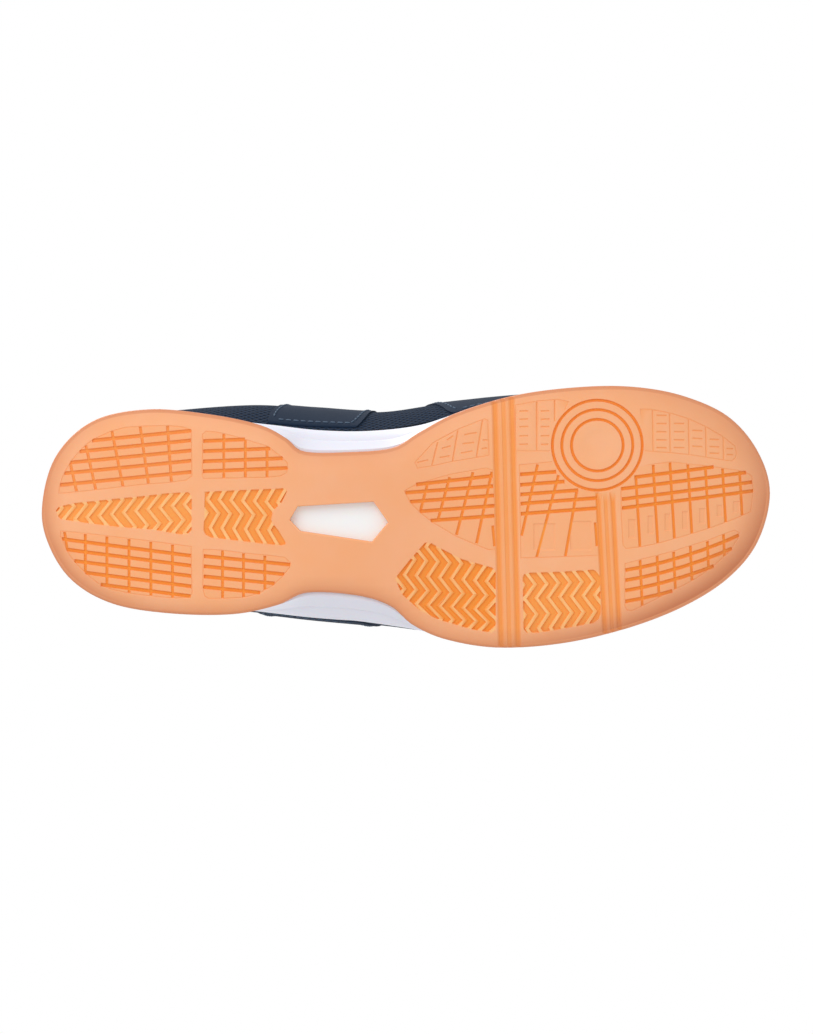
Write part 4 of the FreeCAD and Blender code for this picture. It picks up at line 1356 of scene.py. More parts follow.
# cross-sections round the upper: lower edge x and y, opening edge x and y, opening height, bulge outwards
STATIONS: list[tuple[float, ...]] = [
    (-142.2, -3.5, -137, -3.5, 98, 1.5), (-135, -24, -131, -17, 96, 2), (-116, -35.5, -116, -26.5, 87, 2.5),
    (-90, -37.4, -92, -30, 78.5, 4), (-62, -35.2, -66, -28, 84, 8), (-36, -33.2, -45, -21.5, 93.5, 8.8),
    (-9, -33.6, -22, -18.5, 86, 7.4), (18, -38.6, 2, -16.5, 77, 6.5), (44, -44.4, 22, -14, 69, 3.5),
    (75, -47.4, 33, -11, 64.4, 1.5), (108, -43.8, 37.5, -6.5, 62.6, 1), (132, -30.8, 38.3, -4.2, 62.3, 1),
    (141.8, -9, 38.5, -2.3, 62.3, 1), (131.5, 15.8, 38.3, -0.4, 62.3, 1), (105, 33.4, 37.5, 2.2, 62.6, 1),
    (72, 44.4, 33, 7.2, 64.4, 1.5), (42, 47.6, 22, 10.6, 69, 2), (16, 46.2, 2, 13.6, 77, 2),
    (-10, 42.4, -22, 16, 86, 3.2), (-38, 39.2, -45, 19, 93.5, 4), (-65, 36.2, -66, 25, 82, 3.5),
    (-92, 34.6, -92, 26.5, 75.5, 3), (-116, 31, -116, 22, 85, 2.5), (-134, 17.5, -131, 11.5, 95, 2),
]
STATION_COUNT = len(STATIONS)
SQUARENESS = 2.3


def upper_surface(place: np.ndarray, level: np.ndarray) -> np.ndarray:
    """Points on the upper's inner face.

    Args:
        place: Places round the shoe, in stations from the heel over the inner side.
        level: 0 at the lower edge, 1 at the edge of the opening.

    Returns:
        Points, one (x, y, z) row each.
    """
    data = np.array(STATIONS, float)
    at = catmull(data, place)
    ahead, behind = catmull(data[:, :2], place + 0.05), catmull(data[:, :2], place - 0.05)
    tangent = ahead - behind
    out = np.column_stack([tangent[:, 1], -tangent[:, 0]])
    out /= np.linalg.norm(out, axis=1, keepdims=True)
    angle = level * math.pi / 2
    across = 1 - np.clip(np.cos(angle), 0, 1) ** (2 / SQUARENESS)
    up = np.clip(np.sin(angle), 0, 1) ** (2 / SQUARENESS)
    low, high = at[:, :2], at[:, 2:4]
    plan = low + (high - low) * across[:, None] + out * (at[:, 5] * np.sin(math.pi * up))[:, None]
    z0 = height_at(RIM_HEIGHTS, low[:, 0]) + 0.3
    return np.column_stack([plan, z0 + (at[:, 4] - z0) * up])


def upper_points(place: np.ndarray, level: np.ndarray, depth: np.ndarray | float) -> np.ndarray:
    """Points at a depth outwards from the upper's inner face; the arrays share one shape.

    Args:
        place: Places round the shoe, in stations.
        level: 0 at the lower edge, 1 at the edge of the opening.
        depth: Distance outwards; a negative one is inside the shoe.

    Returns:
        Points, in the arrays' shape with a last axis of x, y, z.
    """
    place, level, depth = np.broadcast_arrays(*(np.asarray(a, float) for a in (place, level, depth)))
    shape = place.shape
    s, v, d = place.ravel(), level.ravel(), depth.ravel()
    base = upper_surface(s, v)
    safe = np.clip(v, 0.02, 0.97)
    along = upper_surface(s + 0.04, safe) - upper_surface(s - 0.04, safe)
    rise = upper_surface(s, safe + 0.01) - upper_surface(s, safe - 0.01)
    normal = np.cross(along, rise)
    normal /= np.maximum(np.linalg.norm(normal, axis=1, keepdims=True), 1e-9)
    return (base + normal * d[:, None]).reshape(shape + (3,))


def blend_over_flex(obj: bpy.types.Object) -> None:
    """Bake a piece's place into its mesh; it rides on no body."""
    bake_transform(obj)


def settle(obj: bpy.types.Object, material: bpy.types.Material | Sequence[bpy.types.Material],
           body: str | None, replaced: Sequence[str] = ()) -> bpy.types.Object:
    """Give a piece its finish, slot and body; with no body its place is baked into its mesh.

    Args:
        obj: The piece.
        material: Its material, or several for its material slots.
        body: Body that it rides on, or None.
        replaced: CAD nodes that it stands for.

    Returns:
        The piece.
    """
    for m in (material if isinstance(material, (list, tuple)) else [material]):
        obj.data.materials.append(m)
    if replaced:
        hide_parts(*replaced)
    if body is None:
        blend_over_flex(obj)
    else:
        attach(obj, body)
    log.info("%s: %d faces", obj.name, len(obj.data.polygons))
    return obj


# ---------------------------------------------------------------- midsole, sockliner

@dataclass
class Midsole:
    """White foam midsole with sloping walls, a moulded parting line and a rounded top edge."""

    samples: int = 300
    wall_height: float = 17.0
    profile: tuple[tuple[float, float], ...] = (
        (0, 0.1), (0.1, 0.1), (0.26, 0.28), (0.3, 0.3), (0.33, -0.12), (0.36, 0.3), (0.5, 0.35), (0.66, 0.3),
        (0.78, 0.2), (0.81, 0.2), (0.83, -0.15), (0.85, 0.15), (0.93, 0.0), (0.98, -0.35), (1.0, -0.9))

    def build(self) -> bpy.types.Object:
        """One closed mesh over the flex line.

        Returns:
            The midsole.
        """
        low, high = even_loop(OUTSOLE_OUTLINE, self.samples), even_loop(MIDSOLE_OUTLINE, self.samples)
        low = low - loop_normals(low) * 1.2
        out = loop_normals(high)
        bottom = ground_at(low[:, 0]) + 3.85
        top = height_at(RIM_HEIGHTS, high[:, 0])
        rows = []
        for share in (0.0, 0.35, 0.7):
            rows.append(np.column_stack([low[:, 0], -1 + (low[:, 1] + 1) * share, ground_at(low[:, 0]) + 5.7]))
        rows[-1] = np.column_stack([low - loop_normals(low) * 5, bottom + 0.05])
        for share, bulge in self.profile:
            z = bottom + (top - bottom) * share
            t = np.clip(z / self.wall_height, 0, 1)[:, None]
            rows.append(np.column_stack([low + (high - low) * t + out * bulge, z]))
        bed = height_at(FOOTBED_HEIGHTS, high[:, 0])
        rows.append(np.column_stack([high - out * 2.4, top - 0.15]))
        rows.append(np.column_stack([high - out * 4.2, bed + 0.05]))
        for share in (0.5, 0.0):
            rows.append(np.column_stack([high[:, 0], (high[:, 1]) * share, bed]))
        return grid_object("midsole", np.array(rows), wrap_columns=True, sharp=50)


@dataclass
class Sockliner:
    """Foam sockliner with a knitted face, raised round its edge."""

    samples: int = 200
    margin: float = 3.6

    def build(self) -> bpy.types.Object:
        """Closed pad on the footbed with a cupped edge.

        Returns:
            The sockliner.
        """
        edge = even_loop([(row[0], row[1]) for row in STATIONS], self.samples)
        out = loop_normals(edge)
        rim = edge - out * self.margin
        rows = []
        base = height_at(FOOTBED_HEIGHTS, rim[:, 0])
        cup = height_at(RIM_HEIGHTS, rim[:, 0]) - base + 1.0
        for inset, lift in ((1.5, 1.5), (0.2, 1.6), (0, 3.4)):
            rows.append(np.column_stack([rim - out * inset, base + lift]))
        for inset, drop in ((-1.2, 0.7), (-1.0, 0.15), (-0.4, 0.0), (0.7, 0.5)):
            rows.append(np.column_stack([rim - out * inset, base + cup - drop]))
        for inset, lift in ((2.5, 6.5), (4, 5.8), (5.5, 5.6)):
            rows.append(np.column_stack([rim - out * inset, base + lift]))
        for share in (0.8, 0.6, 0.4, 0.2, 0.0):
            rows.append(np.column_stack([rim[:, 0] * (1 - 0.02 * (1 - share)), rim[:, 1] * share,
                                         base + 5.5 - 0.2 * math.sin(share * 9)]))
        grid = np.array(rows)
        uv = grid[:, :, :2].copy()
        return grid_object("sockliner", grid, np.concatenate([uv, uv[:, :1]], axis=1), wrap_columns=True)


# ---------------------------------------------------------------- upper

@dataclass
class Shell:
    """Continuous mesh upper with its lining."""

    thickness: float = 1.4
    columns: int = 240
    rows: int = 34

    def build(self) -> bpy.types.Object:
        """Closed shell, outer face first and inner face after it.

        Returns:
            The upper, its lining in the second material slot.
        """
        s = np.linspace(0, STATION_COUNT, self.columns, endpoint=False)
        v = np.sin(np.linspace(0, math.pi / 2, self.rows)) * 0.996
        outer = upper_points(s[None, :], v[:, None], self.thickness)
        inner = upper_points(s[None, :], v[::-1, None], 0.0)
        outer[0, :, 2] -= 0.2
        crest = (outer[-1:] + inner[:1]) / 2 + np.array([0, 0, 0.45])
        grid = np.concatenate([outer, crest, inner])
        obj = grid_object("upper_shell", grid, arc_uv(grid, True, True), wrap_rows=True, wrap_columns=True)
        for number, polygon in enumerate(obj.data.polygons):
            polygon.material_index = 1 if number // self.columns >= self.rows else 0
        return obj


@dataclass
class Overlay:
    """Stitched overlay on the upper between two places and two levels, with rounded corners."""

    name: str
    first: float
    last: float
    low: float
    high: float
    lean_low: float = 0.0
    lean_high: float = 0.0
    arch: float = 0.0
    corner: float = 0.35
    inside: float = 1.45
    thickness: float = 0.6
    columns: int = 60
    rows: int = 22

    def places(self, u: np.ndarray, w: np.ndarray, pull: float = 0.0) -> tuple[np.ndarray, np.ndarray]:
        """Station and level of patch places.

        Args:
            u: 0 at the first end, 1 at the last.
            w: 0 at the low edge, 1 at the high edge.
            pull: Distance in from the border, in stations.

        Returns:
            Stations and levels.
        """
        middle, half = (self.first + self.last) / 2, (self.last - self.first) / 2 - pull
        near_edge = np.clip(np.abs(2 * w - 1) * 3 - 2, 0, 1)
        round_off = 1 - self.corner * (1 - np.sqrt(np.clip(1 - near_edge**2, 0, 1))) * 0.3
        lean = self.lean_low * (1 - w) + self.lean_high * w
        side = 2 * u - 1
        s = middle + side * half * round_off + lean
        level_pull = pull * 0.28
        v = self.low + level_pull + (self.high - self.low - 2 * level_pull) * w + self.arch * (1 - side**2) * w
        return s, v

    def build(self) -> bpy.types.Object:
        """Closed thin patch with softened edges.

        Returns:
            The overlay.
        """
        u = (1 - np.cos(np.linspace(0, math.pi, self.columns))) / 2
        w = (1 - np.cos(np.linspace(0, math.pi, self.rows))) / 2
        uu, ww = np.meshgrid(u, w)
        s, v = self.places(uu, ww)
        border = np.minimum(np.minimum(np.arange(self.columns), np.arange(self.columns)[::-1])[None, :],
                            np.minimum(np.arange(self.rows), np.arange(self.rows)[::-1])[:, None])
        share = np.interp(border, [0, 1, 2], [0.45, 0.9, 1.0])
        outer = upper_points(s, v, self.inside + self.thickness * share)
        inner = upper_points(s, v, self.inside - 0.3)[::-1]
        grid = np.concatenate([outer, inner])
        return grid_object(self.name, grid, arc_uv(grid, True), wrap_rows=True, cap_ends=True)

    def seam(self, pull: float) -> np.ndarray:
        """Closed line just inside the border, for a row of stitches.

        Args:
            pull: Distance in from the border, in stations.

        Returns:
            Points of the line.
        """
        n = 60
        t = np.linspace(0, 1, n, endpoint=False)
        zero, one = np.zeros(n), np.ones(n)
        u = np.concatenate([t, one, 1 - t, zero])
        w = np.concatenate([zero, t, one, 1 - t])
        s, v = self.places(u, w, pull)
        return upper_points(s, v, self.inside + self.thickness + 0.05)


@dataclass
class Stitching:
    """Rows of lockstitches merged into one piece."""

    name: str
    pitch: float = 3.0
    length: float = 2.2
    radius: float = 0.34
    sides: int = 6

    def build(self, lines: Iterable[tuple[np.ndarray, bool]]) -> bpy.types.Object:
        """Stitches along lines.

        Args:
            lines: Pairs of a line's points and whether it is closed.

        Returns:
            The stitches as one object.
        """
        points, faces = [], []
        total = 0
        for line, closed in lines:
            line = np.vstack([line, line[:1]]) if closed else line
            along = np.concatenate([[0], np.cumsum(np.linalg.norm(np.diff(line, axis=0), axis=1))])
            for start in np.arange(self.pitch / 2, along[-1] - self.pitch, self.pitch):
                a, b = (np.array([np.interp(q, along, line[:, k]) for k in range(3)])
                        for q in (start, start + self.length))
                axis = (b - a) / max(np.linalg.norm(b - a), 1e-6)
                side = np.cross(axis, (0.3, 0.2, 0.93))
                side /= max(np.linalg.norm(side), 1e-6)
                other = np.cross(axis, side)
                for at, r in ((a, 0.25), (a + axis * 0.35, 1.0), (b - axis * 0.35, 1.0), (b, 0.25)):
                    for k in range(self.sides):
                        q = 2 * math.pi * k / self.sides
                        points.append(at + (side * math.cos(q) + other * math.sin(q)) * self.radius * r)
                faces += [f[::-1] for f in grid_faces(4, self.sides, total, wrap=True)]
                faces.append(tuple(range(total, total + self.sides)))
                faces.append(tuple(range(total + 4 * self.sides - 1, total + 3 * self.sides - 1, -1)))
                total += 4 * self.sides
        return make_mesh(self.name, np.array(points), faces, 60)


@dataclass
class Collar:
    """Padded collar: a foam roll over the edge of the opening from one eyestay round the heel to the other."""

    first: float = 18.9
    last: float = 29.1
    columns: int = 120
    around: int = 22
    # shares of the way round where the outer lip, the roll over the edge and the inner face end
    outside: float = 0.12
    over: float = 0.34
    inside: float = 0.8

    def build(self) -> bpy.types.Object:
        """Closed roll, full at the heel and ankles and thin where it meets the eyestays.

        Returns:
            The collar.
        """
        s = np.linspace(self.first, self.last, self.columns)
        middle = (self.first + self.last) / 2
        full = ease((1 - np.abs(s - middle) / ((self.last - self.first) / 2)) / 0.22)
        swell = 4.4 * full + 0.9 + 0.7 * np.sin(np.linspace(0, 5 * math.pi, self.columns)) ** 2 * full
        bottom = 0.96 - 0.5 * full
        rows = []
        for k in range(self.around):
            q = k / self.around
            roll = (q - self.outside) / (self.over - self.outside)
            if q < self.outside:
                level = np.full(self.columns, 0.9 + 0.09 * q / self.outside)
                depth = np.full(self.columns, 1.75)
            elif q < self.over:
                level = np.full(self.columns, 0.992)
                depth = 1.7 - (1.7 + swell) * (1 - math.cos(roll * math.pi)) / 2
            elif q < self.inside:
                t = (q - self.over) / (self.inside - self.over)
                level = 0.985 - (0.985 - bottom) * t
                depth = -swell * (1 - 0.55 * t**3) - 0.9 * np.sin(math.pi * t) * full
            else:
                t = (q - self.inside) / (1 - self.inside)
                level = bottom + (0.88 - bottom) * t
                depth = np.full(self.columns, -0.2 + 0.1 * t)
            row = upper_points(s, level, depth)
            if self.outside <= q < self.over:
                row[:, 2] += 1.9 * math.sin(roll * math.pi) * (0.5 + 0.5 * full)
            rows.append(row)
        grid = np.array(rows)
        return grid_object("collar_pad", grid, arc_uv(grid, True), wrap_rows=True, cap_ends=True, sharp=70)


# middle line of the tongue from its sewn end: x, z, half width
TONGUE: list[tuple[float, float, float]] = [
    (41, 61.2, 13), (34, 61.8, 15), (27, 65, 18), (16, 70.8, 20.5), (2, 77.8, 22), (-22, 87, 21.5), (-44, 96, 20.5),
    (-58, 106.5, 20), (-64, 119, 18.5),
]


@dataclass
class Tongue:
    """Padded tongue, blown up by a short cloth simulation, with a sewn panel on top."""

    middle_y: float = -1.8
    crown: float = 0.02
    thickness: float = 5.0
    steps: int = 5
    across: int = 17
    frames: int = 20
    cap_mm: float = 1.6

    def rows(self) -> np.ndarray:
        """Middle line with half widths, smoothly interpolated: x, z, half width.

        Returns:
            One row for each cross-section.
        """
        data = np.array(TONGUE, float)
        ends = np.vstack([2 * data[0] - data[1], data, 2 * data[-1] - data[-2]])
        places = np.linspace(1, len(data) - 0.001, (len(data) - 1) * self.steps + 1)
        return catmull(ends, places)

    def face(self, drop: float, shrink: float = 0.0, channel: float = 0.0) -> np.ndarray:
        """Grid of one face; drop 0 is the top face and 1 the bottom face.

        Args:
            drop: 0 for the top face, 1 for the bottom face.
            shrink: Distance in from the full size.
            channel: Depth of the two sewn channels in the top face.

        Returns:
            Points, an array of rows by columns by 3.
        """
        line = self.rows()
        tangent = np.gradient(line[:, :2], axis=0)
        tangent /= np.linalg.norm(tangent, axis=1, keepdims=True)
        normal = np.column_stack([-tangent[:, 1], tangent[:, 0]])
        normal[normal[:, 1] < 0] *= -1
        grid = []
        for i, (x, z, half) in enumerate(line):
            pad = self.thickness * (0.4 if i < self.steps else 1.0)
            ending = max(0.0, (i / (len(line) - 1) - 0.84) / 0.16)
            half = half * (1 - 0.42 * ending**3)
            k = np.sin(np.linspace(-1, 1, self.across) * math.pi / 2)
            off = (half - shrink) * k
            edge = 1 - 0.75 * k**4
            sink = self.crown * off**2 + shrink * 0.5 * (1 - 2 * drop) + drop * pad * edge + (1 - drop) * 0.9 * k**6
            sink = sink + channel * (1 - drop) * np.exp(-((np.abs(k) - 0.62) / 0.06) ** 2)
            grid.append(np.column_stack([x - normal[i, 0] * sink, self.middle_y + off, z - normal[i, 1] * sink]))
        return np.array(grid)

    def build(self) -> bpy.types.Object:
        """Returns:
            The tongue.
        """
        top, bottom = self.face(0, 0.5, 0.7), self.face(1, 0.5)
        grid = np.concatenate([top, bottom[:, ::-1]], axis=1)
        obj = grid_object("tongue_pad", grid, arc_uv(grid, False, True), wrap_columns=True)
        columns, rows = grid.shape[1], grid.shape[0]
        mesh = obj.data
        bm = bmesh.new()
        bm.from_mesh(mesh)
        bm.verts.ensure_lookup_table()
        for r in (0, rows - 1):
            loop = [bm.verts[r * columns + c] for c in range(columns)]
            half = columns // 2
            for c in range(half - 1):
                corners = (loop[c], loop[c + 1], loop[columns - 2 - c], loop[columns - 1 - c])
                bm.faces.new(corners[:: (1 if r else -1)])
        bmesh.ops.recalc_face_normals(bm, faces=bm.faces)
        bm.to_mesh(mesh)
        bm.free()
        inflate(obj, self.frames, self.cap_mm, pinned=lambda p: p[:, 0] > 30 * MM)
        smooth = obj.modifiers.new("surface", "SUBSURF")
        smooth.levels = smooth.render_levels = 1
        apply_modifiers(obj)
        for polygon in obj.data.polygons:
            polygon.use_smooth = True
        return obj


def inflate(obj: bpy.types.Object, frames: int, cap_mm: float,
            pinned: Callable[[np.ndarray], np.ndarray]) -> None:
    """Blow a closed piece up by cloth pressure, and keep every vertex within a cap of where it was.

    Args:
        obj: Closed mesh.
        frames: Frames to run.
        cap_mm: Furthest that a vertex may move.
        pinned: Says which points (in metres) are sewn down.
    """
    mesh = obj.data
    count = len(mesh.vertices)
    before = np.empty(count * 3)
    mesh.vertices.foreach_get("co", before)
    before = before.reshape(-1, 3)
    group = obj.vertex_groups.new(name="sewn")
    group.add([int(i) for i in np.where(pinned(before))[0]], 1.0, "REPLACE")
    cloth = obj.modifiers.new("cloth", "CLOTH")
    cloth.settings.use_pressure = True
    cloth.settings.uniform_pressure_force = 4.0
    cloth.settings.effector_weights.gravity = 0.0
    cloth.settings.vertex_group_mass = "sewn"
    cloth.settings.tension_stiffness = cloth.settings.compression_stiffness = 12.0
    cloth.point_cache.frame_start, cloth.point_cache.frame_end = 1, frames
    scene = bpy.context.scene
    for frame in range(1, frames + 1):
        scene.frame_set(frame)
    result = obj.evaluated_get(bpy.context.evaluated_depsgraph_get()).to_mesh()
    after = np.empty(count * 3)
    result.vertices.foreach_get("co", after)
    obj.modifiers.remove(cloth)
    moved = after.reshape(-1, 3) - before
    length = np.linalg.norm(moved, axis=1, keepdims=True)
    moved *= np.minimum(1, cap_mm * MM / np.maximum(length, 1e-9))
    mesh.vertices.foreach_set("co", (before + moved).ravel())
    mesh.update()
    scene.frame_set(1)


def apply_modifiers(obj: bpy.types.Object) -> None:
    """Bake an object's modifiers into its mesh.

    Args:
        obj: The object.
    """
    evaluated = obj.evaluated_get(bpy.context.evaluated_depsgraph_get())
    obj.data = bpy.data.meshes.new_from_object(evaluated, preserve_all_data_layers=True,
                                               depsgraph=bpy.context.evaluated_depsgraph_get())
    obj.modifiers.clear()


def tube(name: str, line: np.ndarray, radii: tuple[float, float], up: Sequence[float] = (0, 0, 1),
         closed: bool = False, sides: int = 12) -> bpy.types.Object:
    """Oval tube along a line, with a millimetre UV map.

    Args:
        name: Name of the piece.
        line: Points of the line.
        radii: Half widths across and along the up direction.
        up: Direction that the oval's short axis keeps to.
        closed: True for a line that ends where it starts.
        sides: Vertices round the tube.

    Returns:
        The new object.
    """
    tangent = (np.roll(line, -1, axis=0) - np.roll(line, 1, axis=0)) if closed else np.gradient(line, axis=0)
    tangent /= np.linalg.norm(tangent, axis=1, keepdims=True)
    side = np.cross(tangent, np.array(up, float))
    side /= np.maximum(np.linalg.norm(side, axis=1, keepdims=True), 1e-9)
    over = np.cross(side, tangent)
    q = np.linspace(0, 2 * math.pi, sides, endpoint=False)
    grid = (line[None] + side[None] * np.cos(q)[:, None, None] * radii[0]
            + over[None] * np.sin(q)[:, None, None] * radii[1])
    return grid_object(name, grid, arc_uv(grid, True, closed), wrap_rows=True, wrap_columns=closed,
                       cap_ends=not closed, sharp=70)


@dataclass
class PullTab:
    """Woven loop sewn to the top of the heel."""

    thick: float = 1.1
    steps: tuple[tuple[float, float, float], ...] = (
        (0.70, 2.3, 0), (0.8, 2.6, 0), (0.9, 3.2, 0.3), (0.97, 4.2, 2.2), (0.99, 3.6, 5.6), (0.99, 0.6, 8.6),
        (0.99, -3.0, 8.4), (0.98, -5.6, 5.2), (0.95, -6.6, 1.2), (0.9, -6.9, 0), (0.84, -6.6, 0))

    def build(self) -> bpy.types.Object:
        """Closed flat loop.

        Returns:
            The loop.
        """
        steps = np.array(self.steps)
        ends = np.vstack([2 * steps[0] - steps[1], steps, 2 * steps[-1] - steps[-2]])
        dense = catmull(ends, np.linspace(1, len(steps), 50, endpoint=False))
        middle = upper_points(np.zeros(50), dense[:, 0], dense[:, 1]) + np.outer(dense[:, 2], (0, 0, 1))
        tangent = np.gradient(middle, axis=0)
        tangent /= np.linalg.norm(tangent, axis=1, keepdims=True)
        normal = np.cross(tangent, (0, 1, 0))
        across = np.array([-6.4, -6.1, 0, 6.1, 6.4])
        faces = []
        for lift in (self.thick / 2, -self.thick / 2):
            face = middle[:, None] + np.array([0, 1, 0]) * across[None, :, None]
            edge = np.array([0.45, 1, 1, 1, 0.45])
            faces.append(face + normal[:, None] * (lift * edge)[None, :, None])
        grid = np.concatenate([faces[0], faces[1][:, ::-1]], axis=1).transpose(1, 0, 2)
        return grid_object("heel_pull_loop", grid, arc_uv(grid, True), wrap_rows=True, cap_ends=True)


@dataclass
class Lacing:
    """Flat lace through six rows of punched holes, with its eyelet rims."""

    level: float = 0.845
    first_row: float = 5.35
    last_row: float = 8.3
    rows: int = 6
    # rises of the lace's middle line beyond its hole: level above the hole's, and distance outwards
    climb: tuple[Point2, ...] = ((0.0, 0.6), (0.005, 2.6), (0.03, 3.7), (0.09, 4.2), (0.15, 4.6))
    eyelet_sides: int = 20
    width: float = 5.6
    thick: float = 1.5

    def row_places(self) -> list[float]:
        """Station of each row's hole on the inner side."""
        return [float(v) for v in np.linspace(self.first_row, self.last_row, self.rows)]

    def bar(self, s: float) -> np.ndarray:
        """Middle line of the lace over one row, from the inner hole to the outer hole.

        Args:
            s: Station of the row's inner hole.

        Returns:
            Points of the line.
        """
        inner, outer = ([upper_points(np.array([place]), np.array([self.level + up]), away)[0]
                         for up, away in self.climb] for place in (s, STATION_COUNT - s))
        outer.reverse()
        crest = (inner[-1] + outer[0]) / 2 + np.array([0, 0, 0.4])
        return np.array(inner + [crest] + outer)

    def ribbon(self, line: np.ndarray) -> np.ndarray:
        """Flat oval tube along a line, as a grid of rings.

        Args:
            line: Points of the middle line.

        Returns:
            Points, an array of rings by vertices by 3.
        """
        n = len(line)
        ends = np.vstack([2 * line[0] - line[1], line, 2 * line[-1] - line[-2]])
        dense = catmull(ends, np.linspace(1, n, 46, endpoint=False))
        tangent = np.gradient(dense, axis=0)
        tangent /= np.linalg.norm(tangent, axis=1, keepdims=True)
        along_shoe = np.array([0.92, 0, -0.39])
        side = along_shoe - tangent * (tangent @ along_shoe)[:, None]
        side /= np.linalg.norm(side, axis=1, keepdims=True)
        up = np.cross(side, tangent)
        q = np.linspace(0, 2 * math.pi, 14, endpoint=False)
        narrow = np.interp(np.arange(len(dense)), [0, 5, len(dense) - 6, len(dense) - 1], [0.62, 1, 1, 0.62])
        wide = np.sign(np.cos(q)) * np.abs(np.cos(q)) ** 0.75
        return (dense[:, None] + side[:, None] * (wide[None, :, None] * narrow[:, None, None] * self.width / 2)
                + up[:, None] * np.sin(q)[None, :, None] * self.thick / 2)

    def build_lace(self) -> bpy.types.Object:
        """All the lace that shows, as one piece.

        Returns:
            The lace.
        """
        points, faces, uvs, total = [], [], [], 0
        for s in self.row_places():
            grid = self.ribbon(self.bar(s))
            rows, columns = grid.shape[:2]
            points.append(grid.reshape(-1, 3))
            faces += grid_faces(rows, columns, total, wrap=True)
            faces.append(tuple(range(total + columns - 1, total - 1, -1)))
            faces.append(tuple(range(total + (rows - 1) * columns, total + rows * columns)))
            uv = arc_uv(grid, False, True)
            uvs.append((uv, rows, columns, total))
            total += rows * columns
        obj = make_mesh("lace_flat", np.vstack(points), faces, 60)
        layer = obj.data.uv_layers.new(name="weave_mm")
        where = np.zeros((total, 2), np.float32)
        for uv, rows, columns, start in uvs:
            where[start:start + rows * columns] = uv[:rows, :columns].reshape(-1, 2)
        index = np.empty(len(obj.data.loops), int)
        obj.data.loops.foreach_get("vertex_index", index)
        layer.data.foreach_set("uv", where[index].ravel())
        return obj

    def build_eyelets(self, name: str, mirrored: bool) -> bpy.types.Object:
        """Pressed rims round the holes of one side, each with its dark bore.

        Args:
            name: Name of the piece.
            mirrored: True for the outer side.

        Returns:
            The rims of six holes.
        """
        points, faces, total = [], [], 0
        for s in self.row_places():
            s = STATION_COUNT - s if mirrored else s
            base = upper_points(np.array([s]), np.array([self.level]), 2.35)[0]
            tip = upper_points(np.array([s]), np.array([self.level]), 3.35)[0]
            out = tip - base
            out /= np.linalg.norm(out)
            side = np.cross(out, (0.9, 0.1, -0.3))
            side /= np.linalg.norm(side)
            other = np.cross(out, side)
            profile = ((3.2, -0.3), (3.1, 0.25), (2.6, 0.6), (2.05, 0.45), (1.8, 0.0), (1.7, -0.8), (0.05, -0.9))
            for radius, lift in profile:
                for k in range(self.eyelet_sides):
                    q = 2 * math.pi * k / self.eyelet_sides
                    points.append(base + out * lift + (side * math.cos(q) + other * math.sin(q)) * radius)
            faces += grid_faces(len(profile), self.eyelet_sides, total, wrap=True)
            total += len(profile) * self.eyelet_sides
        return make_mesh(name, np.array(points), faces, 50)


# ---------------------------------------------------------------- studio

